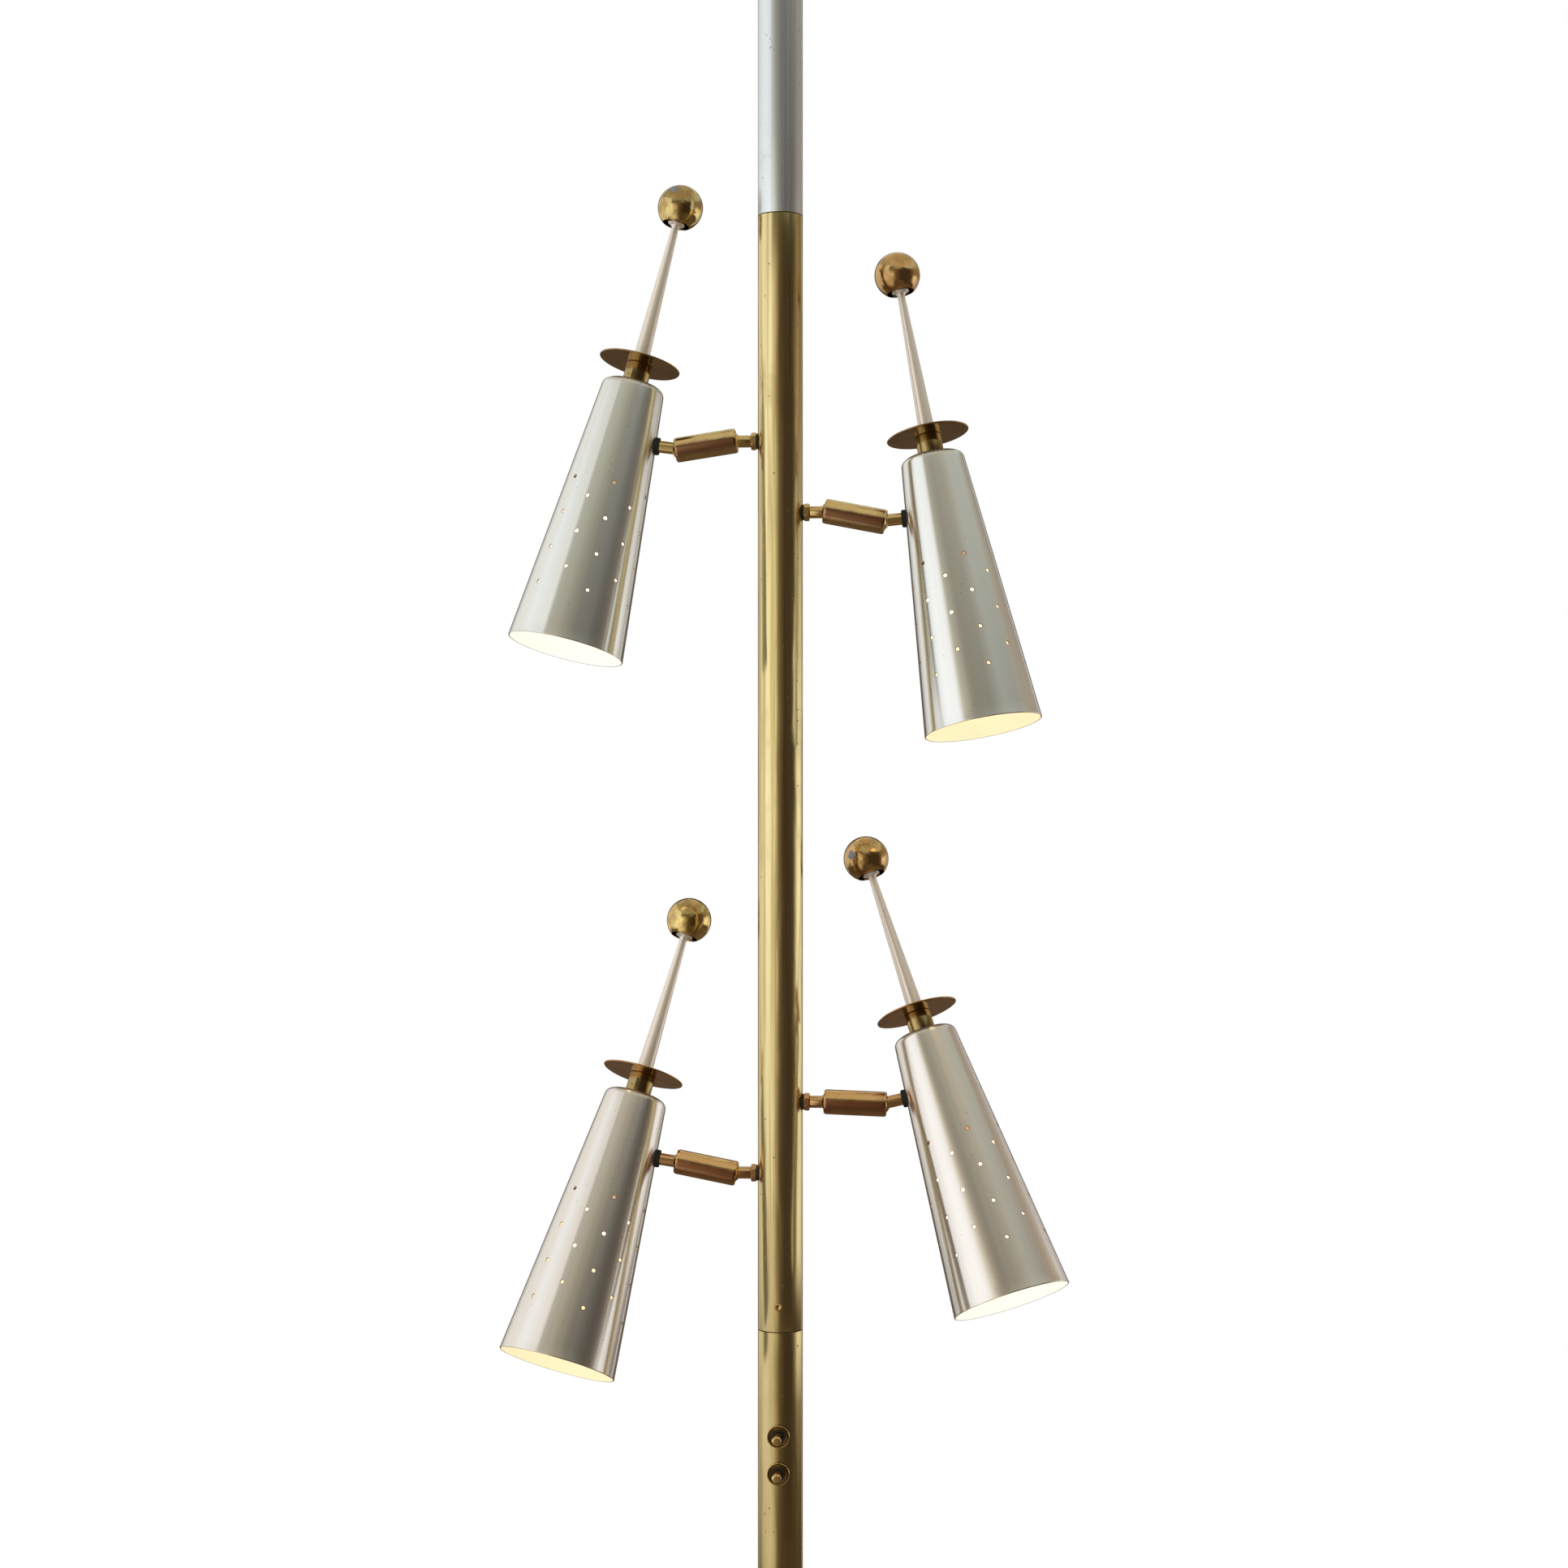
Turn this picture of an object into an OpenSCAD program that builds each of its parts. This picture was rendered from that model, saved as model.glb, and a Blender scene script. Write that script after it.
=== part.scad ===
// Floor-to-ceiling tension pole lamp with four pierced cone shades on double ball swivels.
// Origin on the floor, on the pole's axis. +Z up, -Y the side of the switches, arms along +X and -X.

/* [Pole] */
// Outside diameter of the pole's tubes
pole_d = 38.1; // [37.6:0.1:38.6]
// Wall of the pole's tubes
tube_wall = 1.25; // [1.1:0.05:1.4]
// Height of the seam between the lower and the middle tube
lower_seam_z = 1003.5; // [995:0.5:1012]
// Height of the seam between the middle and the upper tube
upper_seam_z = 1944; // [1930:0.5:1960]
// Top end of the upper tube
upper_tube_top_z = 2395; // [2380:1:2405]
// Height of the ceiling pad's face with the plunger fully out
ceiling_z = 2470; // [2460:1:2480]
// Length of each inner coupling ferrule
ferrule_len = 87; // [70:1:100]

/* [Ends] */
// Diameter of the rubber floor foot
foot_d = 54; // [46:1:64]
// Height of the foot's shoulder, where the lower tube stands
foot_h = 14; // [10:1:20]
// Diameter of the ceiling pad
pad_d = 50; // [44:1:60]
// Outside diameter of the spring-loaded plunger tube
plunger_d = 34.8; // [34:0.1:34.9]
// Height of the plunger tube's lower end
plunger_low_z = 2150; // [2130:1:2170]
// Height of the cord inlet at the back
inlet_z = 70; // [50:1:120]
// Bore of the cord inlet
inlet_d = 7.2; // [6:0.1:8]

/* [Plunger spring] */
// Diameter of the spring's wire
spring_wire_d = 2.6; // [2:0.1:3]
// Mean diameter of the spring's curls
spring_d = 26; // [22:1:28]
// Number of curls
spring_curls = 22; // [16:1:24]

/* [Switches] */
// Heights of the two switches
switch_z = [916.6, 885.3]; // [880:0.1:925]
// Diameter of the dished ring round each switch
switch_ring_d = 19.2; // [17:0.1:20]
// Diameter of the push button
button_d = 8; // [7.4:0.1:8.2]
// How far the button stands out of its ring
button_out = 17; // [12:0.5:18]
// Height of the tube lock button above the lower seam
lock_button_up = 21.6; // [18:0.1:30]
// Diameter of the tube lock button
lock_button_d = 6.5; // [6:0.1:6.8]

/* [Arms] */
// Heights of the arms: upper left, upper right, lower right, lower left
arm_z = [1754, 1693.5, 1195.5, 1135]; // [1130:0.5:1760]
// Slope of each swivel barrel, outer end up
barrel_slope = [-8.5, -11, -2, 11]; // [-15:0.1:15]
// Slope of each shade neck, outer end up
neck_slope = [7.5, 5.2, 13.5, 8.6]; // [0:0.1:16]
// Turn of each head about its shade neck
head_turn = [9.3, -8.1, -16.9, 20.1]; // [-25:0.1:25]
// Distance from the pole's axis to the centre of the first ball
ball_from_axis = 42.8; // [42:0.1:45]
// Diameter of the swivel balls
ball_d = 17.6; // [17:0.1:17.8]
// Diameter of the ball necks
neck_d = 10.2; // [10:0.1:10.4]
// Diameter of the swivel barrels
barrel_d = 21; // [20.6:0.1:22]
// Length of the swivel barrels
barrel_len = 49; // [46:0.5:54]
// Distance from the second ball's centre to the shade's wall
neck_reach = 22.7; // [22:0.1:25]
// Width of the hexagon nuts across their flats
nut_af = 13; // [12.5:0.1:13.5]
// Thickness of the hexagon nuts
nut_t = 4.4; // [4:0.1:5]

/* [Shade] */
// Radius of the shade's mouth
mouth_r = 49.5; // [48:0.1:51]
// Radius that the cone would have at the shade's top
top_r = 26.5; // [26:0.1:27]
// Height of the shade
shade_h = 236; // [230:0.5:240]
// Thickness of the shade's sheet
shade_t = 0.9; // [0.8:0.05:1.1]
// Radius of the shade's top shoulder
shoulder_r = 6; // [4:0.1:7]
// Height of the side mount above the mouth
mount_h = 188; // [184:0.5:192]
// Diameter of the pierced holes
pierce_d = 3; // [2:0.1:4]
// Spacing of the pierced holes along a column
pierce_pitch = 32; // [28:0.5:33]
// Height of the lowest pierced hole
pierce_low = 45; // [40:0.5:50]

/* [Finial] */
// Diameter of the collar on the shade
collar_d = 22; // [20:0.5:24]
// Height of the collar
collar_h = 18.5; // [16:0.5:20]
// Diameter of the disc
disc_d = 70; // [64:0.5:74]
// Thickness of the disc
disc_t = 1.3; // [1:0.1:2]
// Height of the finial ball's centre above the mouth
finial_z = 398.5; // [390:0.5:405]
// Diameter of the finial ball
finial_d = 39; // [37:0.5:40]
// Diameter of the finial ball's open underside
finial_hole_d = 23.5; // [20:0.5:25]
// Diameter of the spindle at the disc
spindle_low_d = 13.8; // [12:0.1:15]
// Diameter of the spindle under the ball
spindle_high_d = 6.2; // [5.6:0.1:7]

/* [Hidden] */
$fn = 96;
LAMPS = ["upper_left", "upper_right", "lower_right", "lower_left"];
SIDES = [-1, 1, 1, -1];

pole_r = pole_d / 2;
bore_r = pole_r - tube_wall;
edge = 0.35;                  // broken edge on tube ends and discs
fit_gap = 0.05;               // gap between a ferrule and its tube
slack = 0.15;                 // radial play of a stud in its hole
grommet_r = inlet_d / 2 + 2.5;

// Swivels
stud_r = 4.8;
neck_r = neck_d / 2;
wire_r = 3;                   // wire way through the necks
ball_r = ball_d / 2;
seat_r = ball_r + 0.2;
ball_inset = 3.8;             // ball's centre inside the barrel's end face
ball_gap = barrel_len - 2 * ball_inset;
barrel_r = barrel_d / 2;
barrel_face_r = 9;
barrel_shoulder = 2.8;
pole_washer_t = 2;
pole_washer_r = 7.2;
nut_face_x = pole_r + pole_washer_t;
stud_in_x = 11;               // inner end of the pole studs
inner_nut_x = 11.8;
shade_washer_t = 5.9;
shade_washer_r = 7.6;
stud_reach = 8.8;             // stud's length past the shade's wall
locknut_depth = 2.1;          // locknut's face below the shade's outer surface

// Shade
cone_slope = (mouth_r - top_r) / shade_h;
wall_angle = atan(cone_slope);
mount_r = mouth_r - cone_slope * mount_h;
pierce_turn = -12;            // first column's turn from the side mount
pierce_columns = 6;
rim_r = 0.75;                 // bead round the mouth

// Finial
disc_z = shade_h + collar_h;
spindle_z = disc_z + disc_t;
finial_r = finial_d / 2;
finial_wall = 1;
hole_drop = sqrt(pow(finial_r, 2) - pow(finial_hole_d / 2, 2));
flare_z = finial_z - hole_drop + 0.2;
flare_r = 7.3;
tie_r = 2.2;                  // tie stud from the flare to the ball's crown
boss_r = 4.5;
boss_h = 8;
nipple_r = 4.8;
screw_turn = -120;            // collar's set screw hole
screw_up = 6.5;
screw_r = 0.8;
nipple_top = spindle_z + 10;

// Socket and bulb
socket_top = shade_h - shade_t - 0.1;
socket_low = 172;
socket_r = 17;
bulb_base_r = 13;
bulb_base_top = 203;
bulb_neck_z = 178;
bulb_neck_r = 14;
bulb_r = 30;
bulb_centre_z = 123;
bulb_tangent = 25;            // latitude where the globe meets the neck's cone
glass_t = 0.8;

// Switches
ring_out = 2.6;               // ring's rim beyond the tube's surface
ring_dish = 1.1;
switch_stud_r = 5.4;
switch_body_r = 11;
button_travel = 4;
lock_out = 2.2;               // lock button's stand-out
lock_flange_r = 4.6;
lock_flange_y = 15;           // flange's face behind the ferrule's wall

// Points of a circular arc in the plane
function arc(cx, cy, r, from, to, steps) =
    [for (k = [0:steps]) let (a = from + (to - from) * k / steps) [cx + r * cos(a), cy + r * sin(a)]];

// Frames: each places its children where that piece of lamp i lies
module arm_frame(i) rotate([0, 0, SIDES[i] > 0 ? 0 : 180]) translate([0, 0, arm_z[i]]) children();
module barrel_frame(i)
    arm_frame(i) translate([ball_from_axis, 0, 0]) rotate([0, -barrel_slope[i], 0]) children();
module neck_frame(i)
    barrel_frame(i) translate([ball_gap, 0, 0]) rotate([0, barrel_slope[i] - neck_slope[i], 0])
    rotate([head_turn[i], 0, 0]) children();
module head_frame(i)
    neck_frame(i) translate([neck_reach, 0, 0]) rotate([0, -wall_angle, 0])
    translate([mount_r, 0, -mount_h]) rotate([0, 0, 180]) children();
// On a shade, +Z out of its wall at the side mount
module at_mount() translate([mount_r, 0, mount_h]) rotate([0, 90 - wall_angle, 0]) children();
// +Z along the arm's +X
module along_x(x = 0) translate([x, 0, 0]) rotate([0, 90, 0]) children();
// +Z out of the pole's front at height z
module front(z) translate([0, 0, z]) rotate([90, 0, 0]) children();
module back(z) translate([0, 0, z]) rotate([-90, 0, 0]) children();

// Tube of the pole with broken edges
module tube(z0, z1)
    rotate_extrude()
        polygon([[bore_r, z0], [pole_r - edge, z0], [pole_r, z0 + edge], [pole_r, z1 - edge],
                 [pole_r - edge, z1], [bore_r, z1]]);

// Hexagon nut with chamfered corners, corners up
module hex_nut(bore) {
    corner = nut_af / 2 / cos(30);
    difference() {
        intersection() {
            cylinder(r = corner, h = nut_t, $fn = 6);
            rotate_extrude() polygon([[0, 0], [corner - 0.9, 0], [corner + 0.1, 0.7],
                                      [corner + 0.1, nut_t - 0.7], [corner - 0.9, nut_t], [0, nut_t]]);
        }
        translate([0, 0, -1]) cylinder(r = bore, h = nut_t + 2);
    }
}

module floor_foot()
    color([0.06, 0.06, 0.06])
    rotate_extrude()
        polygon([[0, 0], [foot_d / 2 - 1.5, 0], [foot_d / 2, 1.5], [foot_d / 2, 5],
                 [pole_r + 1.2, foot_h - 0.6], [pole_r + 0.6, foot_h], [bore_r - fit_gap, foot_h],
                 [bore_r - fit_gap, foot_h + 28], [bore_r - 2, foot_h + 30], [0, foot_h + 30]]);

module lower_tube()
    color([0.72, 0.58, 0.28])
    difference() {
        tube(foot_h, lower_seam_z);
        for (z = switch_z) front(z) cylinder(r = switch_stud_r + fit_gap, h = pole_d);
        back(inlet_z) cylinder(r = grommet_r + fit_gap, h = pole_d);
    }

module middle_tube()
    color([0.72, 0.58, 0.28])
    difference() {
        tube(lower_seam_z, upper_seam_z);
        for (i = [0:3]) arm_frame(i) along_x() cylinder(r = stud_r + 2 * slack, h = pole_d);
        front(lower_seam_z + lock_button_up) cylinder(d = lock_button_d + 0.4, h = pole_d);
    }

module upper_tube()
    color([0.74, 0.76, 0.78])
    tube(upper_seam_z, upper_tube_top_z);

// Sleeves inside the two seams; the upper one also seats the plunger's spring
module tube_ferrules()
    color([0.6, 0.6, 0.62])
    for (z = [lower_seam_z, upper_seam_z])
        difference() {
            translate([0, 0, z - ferrule_len / 2]) cylinder(r = bore_r - fit_gap, h = ferrule_len);
            translate([0, 0, z - ferrule_len / 2 - 1]) cylinder(r = bore_r - 2, h = ferrule_len - 3);
            translate([0, 0, z]) cylinder(r = wire_r + 1, h = ferrule_len);
            if (z == lower_seam_z)
                front(z + lock_button_up) cylinder(d = lock_button_d + 0.4, h = pole_d);
        }

// Rubber grommet where the supply cord goes in
module cord_grommet()
    color([0.06, 0.06, 0.06])
    difference() {
        union() {
            back(inlet_z) translate([0, 0, pole_r - 6]) cylinder(r = grommet_r, h = 6);
            difference() {
                back(inlet_z) translate([0, 0, pole_r - 3]) cylinder(r = grommet_r + 2, h = 5);
                cylinder(r = pole_r, h = 2 * inlet_z);
            }
        }
        back(inlet_z) cylinder(d = inlet_d, h = pole_d);
    }

// Hexagon nuts outside and inside the pole's wall at each arm
module pole_nuts()
    color([0.78, 0.62, 0.32])
    for (i = [0:3])
        arm_frame(i) {
            along_x(nut_face_x) hex_nut(stud_r + slack);
            along_x(inner_nut_x) hex_nut(stud_r + slack);
        }

// Black washers shaped to the pole
module pole_washers()
    color([0.05, 0.05, 0.05])
    difference() {
        for (i = [0:3])
            arm_frame(i) along_x(pole_r - 3)
                difference() {
                    cylinder(r = pole_washer_r, h = pole_washer_t + 3);
                    translate([0, 0, -1]) cylinder(r = stud_r + slack, h = pole_washer_t + 5);
                }
        translate([0, 0, lower_seam_z]) cylinder(r = pole_r, h = upper_seam_z - lower_seam_z);
    }

// Switch mechanisms inside the pole with their threaded bushings through its wall
module switch_bodies()
    color([0.1, 0.1, 0.1])
    for (z = switch_z)
        front(z) difference() {
            union() {
                translate([0, 0, -6]) cylinder(r = switch_body_r, h = 19.5);
                cylinder(r = switch_stud_r, h = pole_r + ring_out + 0.4);
            }
            translate([0, 0, 2]) cylinder(d = button_d + 0.4, h = pole_d);
        }

// Dished rings that clamp the switches to the pole
module switch_rings()
    color([0.35, 0.26, 0.14])
    difference() {
        for (z = switch_z)
            front(z) difference() {
                translate([0, 0, pole_r - 3]) cylinder(d = switch_ring_d, h = 3 + ring_out);
                translate([0, 0, pole_r + ring_out - ring_dish])
                    cylinder(r1 = switch_ring_d / 2 - 1.6, r2 = switch_ring_d / 2 - 0.6, h = ring_dish + 0.1);
                cylinder(r = switch_stud_r + fit_gap, h = pole_d);
            }
        translate([0, 0, min(switch_z) - switch_ring_d])
            cylinder(r = pole_r, h = max(switch_z) - min(switch_z) + 2 * switch_ring_d);
    }

// Push button of switch k with a chamfered end
module switch_button(k)
    color([0.7, 0.52, 0.26])
    front(switch_z[k]) rotate_extrude()
        polygon([[0, 2 + button_travel + 0.5], [button_d / 2, 2 + button_travel + 0.5],
                 [button_d / 2, pole_r + ring_out + button_out - 0.9],
                 [button_d / 2 - 0.9, pole_r + ring_out + button_out], [0, pole_r + ring_out + button_out]]);

// Sprung button that locks the middle tube to the lower ferrule
module lock_button()
    color([0.74, 0.58, 0.3])
    front(lower_seam_z + lock_button_up) rotate_extrude()
        polygon([[0, lock_flange_y - 1.6], [lock_flange_r, lock_flange_y - 1.6],
                 [lock_flange_r, lock_flange_y], [lock_button_d / 2, lock_flange_y],
                 [lock_button_d / 2, pole_r + lock_out - 0.6], [lock_button_d / 2 - 0.6, pole_r + lock_out],
                 [1.5, pole_r + lock_out], [0, pole_r + lock_out - 0.7]]);

// Tube that the spring pushes up against the ceiling
module plunger_tube()
    color([0.74, 0.76, 0.78])
    difference() {
        translate([0, 0, plunger_low_z]) cylinder(d = plunger_d, h = ceiling_z - 4 - plunger_low_z);
        translate([0, 0, plunger_low_z + 3]) cylinder(d = plunger_d - 3, h = ceiling_z);
        translate([0, 0, plunger_low_z - 1]) cylinder(r = wire_r, h = 10);
    }

module ceiling_pad()
    color([0.06, 0.06, 0.06])
    rotate_extrude()
        polygon([[plunger_d / 2 + fit_gap, ceiling_z - 16], [plunger_d / 2 + 2, ceiling_z - 16],
                 [pad_d / 2, ceiling_z - 5], [pad_d / 2, ceiling_z - 1.5], [pad_d / 2 - 1.5, ceiling_z],
                 [0, ceiling_z], [0, ceiling_z - 4], [plunger_d / 2 + fit_gap, ceiling_z - 4]]);

// Plunger spring: one wire swept along a helix, its ends straight and square to their seats
spring_rings = 8;
wire_sides = 6;
spring_low_z = upper_seam_z + ferrule_len / 2 + 0.1;
spring_high_z = plunger_low_z - 0.1;
spring_pitch = (spring_high_z - spring_low_z - 2 * spring_wire_d) / spring_curls;
spring_steps = spring_curls * spring_rings;
function curl_point(k) =
    let (a = 360 * k / spring_rings)
    [spring_d / 2 * cos(a), spring_d / 2 * sin(a),
     spring_low_z + spring_wire_d + spring_pitch * k / spring_rings];
spring_path = concat(
    [curl_point(0) - [0, 0, spring_wire_d]],
    [for (k = [0:spring_steps]) curl_point(k)],
    [curl_point(spring_steps) + [0, 0, spring_wire_d]]);
function unit(v) = v / norm(v);
function along(p, k) = unit(p[min(k + 1, len(p) - 1)] - p[max(k - 1, 0)]);
// A ring of the wire at point k, square to the path
function wire_ring(p, k, r, n) =
    let (t = k == 0 || k == len(p) - 1 ? [0, 0, 1] : along(p, k),
         u = unit([p[k][0], p[k][1], 0] - (unit([p[k][0], p[k][1], 0]) * t) * norm([p[k][0], p[k][1]]) * t),
         v = cross(t, u))
    [for (j = [0:n - 1]) p[k] + r * (cos(360 * j / n) * u + sin(360 * j / n) * v)];
module wire(p, r, n) {
    rings = len(p);
    points = [for (k = [0:rings - 1]) each wire_ring(p, k, r, n)];
    sides = [for (k = [0:rings - 2]) for (j = [0:n - 1]) let (a = k * n + j, b = k * n + (j + 1) % n)
        each [[a, a + n, b + n], [a, b + n, b]]];
    ends = [for (j = [1:n - 2]) each [[0, j, j + 1],
        [(rings - 1) * n, (rings - 1) * n + j + 1, (rings - 1) * n + j]]];
    polyhedron(points, concat(sides, ends), convexity = 10);
}
// Least gap between one curl and the next, measured on the path's points
spring_gap = min([for (k = [1:spring_steps - spring_rings]) for (j = [-1:1])
    norm(spring_path[k] - spring_path[k + spring_rings + j])]) - spring_wire_d;
echo(spring_gap_mm = spring_gap);

module plunger_spring()
    color([0.55, 0.56, 0.58])
    wire(spring_path, spring_wire_d / 2, wire_sides);

// Hollow stud, neck and ball that carry lamp i's barrel on the pole
module pole_neck(i)
    color([0.78, 0.62, 0.32])
    arm_frame(i) difference() {
        union() {
            along_x(stud_in_x) cylinder(r = stud_r, h = nut_face_x + nut_t - stud_in_x + 1);
            along_x(nut_face_x + nut_t + 0.1)
                cylinder(r = neck_r, h = ball_from_axis - nut_face_x - nut_t - 0.1);
            translate([ball_from_axis, 0, 0]) sphere(r = ball_r);
        }
        along_x(stud_in_x - 1) cylinder(r = wire_r, h = ball_from_axis + ball_r);
    }

// Rounded shoulder of a barrel in six steps from its end face
function shoulder_out(k) = barrel_face_r + (barrel_r - barrel_face_r) * sin(15 * k);
function shoulder_in(k) = barrel_shoulder * (1 - cos(15 * k));

// Swivel barrel with rounded shoulders, a ball seat at each end and a wire way
module barrel(i)
    color([0.72, 0.52, 0.25])
    barrel_frame(i) difference() {
        along_x() rotate_extrude() polygon(concat(
            [[0, -ball_inset]],
            [for (k = [0:6]) [shoulder_out(k), shoulder_in(k) - ball_inset]],
            [for (k = [6:-1:0]) [shoulder_out(k), ball_gap + ball_inset - shoulder_in(k)]],
            [[0, ball_gap + ball_inset]]));
        for (x = [0, ball_gap]) translate([x, 0, 0]) sphere(r = seat_r);
        along_x(0) cylinder(r = wire_r + 1, h = ball_gap);
    }

// Ball, neck and hollow stud that carry lamp i's shade, with the locknut inside the shade
module shade_neck(i)
    color([0.78, 0.62, 0.32])
    neck_frame(i) {
        difference() {
            union() {
                sphere(r = ball_r);
                along_x() cylinder(r = neck_r, h = neck_reach - shade_washer_t - 0.1);
                along_x() cylinder(r = stud_r, h = neck_reach + stud_reach);
            }
            along_x(-ball_r - 1) cylinder(r = wire_r, h = neck_reach + stud_reach + ball_r + 2);
        }
        along_x(neck_reach + locknut_depth) hex_nut(stud_r + fit_gap);
    }

// Thick black washer between neck and shade
module washer(i)
    color([0.05, 0.05, 0.05])
    head_frame(i) difference() {
        at_mount() translate([0, 0, -2]) cylinder(r = shade_washer_r, h = shade_washer_t + 2);
        at_mount() translate([0, 0, -3]) cylinder(r = stud_r + slack, h = shade_washer_t + 4);
        cylinder(r1 = mouth_r, r2 = top_r, h = shade_h);
    }

// Outline of the shade's sheet, grown inwards by t from its outer face
function shade_outline(t) =
    let (k = top_r - shoulder_r * (1 - sin(wall_angle)) / cos(wall_angle))
    arc(k, shade_h - shoulder_r, shoulder_r - t, wall_angle, 90, 8);

// Spun shade with a beaded mouth, a side mount hole, a top hole and its pierced pattern
module shade(i)
    color([0.78, 0.8, 0.8])
    head_frame(i) difference() {
        union() {
            rotate_extrude() polygon(concat(
                [[mouth_r - shade_t / cos(wall_angle), 0], [mouth_r, 0]],
                shade_outline(0), [[0, shade_h], [0, shade_h - shade_t]],
                [for (k = [8:-1:0]) shade_outline(shade_t)[k]]));
            translate([0, 0, rim_r]) rotate_extrude()
                translate([mouth_r - rim_r, 0]) circle(r = rim_r, $fn = 16);
        }
        translate([0, 0, shade_h - 10]) cylinder(r = nipple_r + slack, h = 20);
        at_mount() translate([0, 0, -5]) cylinder(r = stud_r + slack, h = 10);
        for (c = [0:pierce_columns - 1]) {
            for (k = [0:3]) pierce(360 * c / pierce_columns, pierce_low + pierce_pitch * k);
            for (k = [0:2]) pierce(360 * (c + 0.5) / pierce_columns, pierce_low + pierce_pitch * (k + 0.5));
        }
    }
// One pierced hole, square to the cone's wall
module pierce(turn, z)
    rotate([0, 0, pierce_turn + turn]) translate([mouth_r - cone_slope * z, 0, z])
    rotate([0, 90 - wall_angle, 0]) translate([0, 0, -3]) cylinder(d = pierce_d, h = 6, $fn = 24);

// Brass collar between shade and disc, with a small set screw hole
module collar(i)
    color([0.72, 0.56, 0.28])
    head_frame(i) difference() {
        translate([0, 0, shade_h]) cylinder(d = collar_d, h = collar_h);
        translate([0, 0, shade_h - 1]) cylinder(d = collar_d - 3.2, h = collar_h - 1);
        translate([0, 0, shade_h]) cylinder(r = nipple_r + slack, h = collar_h + 1);
        rotate([0, 0, screw_turn]) translate([0, 0, shade_h + screw_up])
            rotate([0, 90, 0]) cylinder(r = screw_r, h = collar_d);
    }

module disc(i)
    color([0.68, 0.5, 0.28])
    head_frame(i) translate([0, 0, disc_z]) rotate_extrude()
        polygon([[nipple_r + slack, 0], [disc_d / 2 - edge, 0], [disc_d / 2, edge],
                 [disc_d / 2, disc_t - edge], [disc_d / 2 - edge, disc_t], [nipple_r + slack, disc_t]]);

// Tapered spindle, flared at its tip inside the ball, with a tie stud up to the ball's crown
module spindle(i)
    color([0.82, 0.8, 0.76])
    head_frame(i) difference() {
        rotate_extrude() polygon([
            [0, spindle_z], [spindle_low_d / 2, spindle_z], [spindle_low_d / 2 - 0.1, spindle_z + 3],
            [spindle_high_d / 2, flare_z - 4], [spindle_high_d / 2 + 0.8, flare_z - 1.8], [flare_r, flare_z],
            [flare_r, flare_z + 1.2], [tie_r, flare_z + 1.8],
            [tie_r, finial_z + finial_r - finial_wall - 2.5], [0, finial_z + finial_r - finial_wall - 2.5]]);
        translate([0, 0, spindle_z - 1]) cylinder(r = nipple_r + fit_gap, h = nipple_top - spindle_z + 1.5);
    }

// Hollow finial ball, open below, with a boss for the tie stud in its crown
module finial(i)
    color([0.76, 0.6, 0.3])
    head_frame(i) translate([0, 0, finial_z]) difference() {
        sphere(r = finial_r);
        difference() {
            sphere(r = finial_r - finial_wall);
            translate([0, 0, finial_r - boss_h]) cylinder(r = boss_r, h = boss_h);
        }
        translate([0, 0, -finial_r - 1]) cylinder(r = finial_r, h = finial_r + 1 - hole_drop);
        cylinder(r = tie_r + fit_gap, h = finial_r - finial_wall - 2.4);
    }

// Lamp socket with the threaded nipple that holds the whole head together
module socket(i)
    color([0.66, 0.52, 0.26])
    head_frame(i) {
        difference() {
            rotate_extrude() polygon([
                [0, socket_top], [9, socket_top], [15.5, socket_top - 6], [socket_r, socket_top - 14],
                [socket_r, socket_low + 1], [socket_r - 1, socket_low], [0, socket_low]]);
            translate([0, 0, socket_low - 1])
                cylinder(r = bulb_base_r + fit_gap, h = bulb_base_top - socket_low + 2);
            translate([0, 0, socket_low - 1])
                cylinder(r = bulb_neck_r + 0.5, h = bulb_neck_z - socket_low + 1.5);
            translate([0, 0, socket_low]) cylinder(r = wire_r, h = nipple_top);
        }
        difference() {
            translate([0, 0, socket_top]) cylinder(r = nipple_r, h = nipple_top - socket_top);
            translate([0, 0, socket_low]) cylinder(r = wire_r, h = nipple_top);
        }
    }

// Bulb: thin glass envelope on a screw base
module bulb(i)
    color([1, 0.97, 0.88, 0.9])
    head_frame(i) {
        difference() {
            envelope(0);
            envelope(glass_t);
        }
        translate([0, 0, bulb_neck_z - glass_t])
            cylinder(r = bulb_base_r, h = bulb_base_top - bulb_neck_z + glass_t);
    }
// Envelope shrunk by t: globe, tangent cone and neck
module envelope(t) {
    r = bulb_r - t;
    cone_z = bulb_centre_z + r * sin(bulb_tangent);
    end_r = bulb_neck_r - t;
    cone_h = (r * cos(bulb_tangent) - end_r) / tan(bulb_tangent);
    translate([0, 0, bulb_centre_z]) sphere(r = r);
    translate([0, 0, cone_z]) cylinder(r1 = r * cos(bulb_tangent), r2 = end_r, h = cone_h);
    translate([0, 0, cone_z + cone_h]) cylinder(r = end_r, h = bulb_neck_z - t - cone_z - cone_h);
}

floor_foot();
lower_tube();
middle_tube();
upper_tube();
tube_ferrules();
cord_grommet();
pole_nuts();
pole_washers();
switch_bodies();
switch_rings();
switch_button(0);  // switch_button_upper
switch_button(1);  // switch_button_lower
lock_button();
plunger_tube();
plunger_spring();
ceiling_pad();
for (i = [0:3]) {
    pole_neck(i);
    barrel(i);
    shade_neck(i);
    washer(i);
    shade(i);
    collar(i);
    disc(i);
    spindle(i);
    finial(i);
    socket(i);
    bulb(i);
}
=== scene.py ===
import math

import bmesh
import bpy
from mathutils import Matrix, Vector


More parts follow.
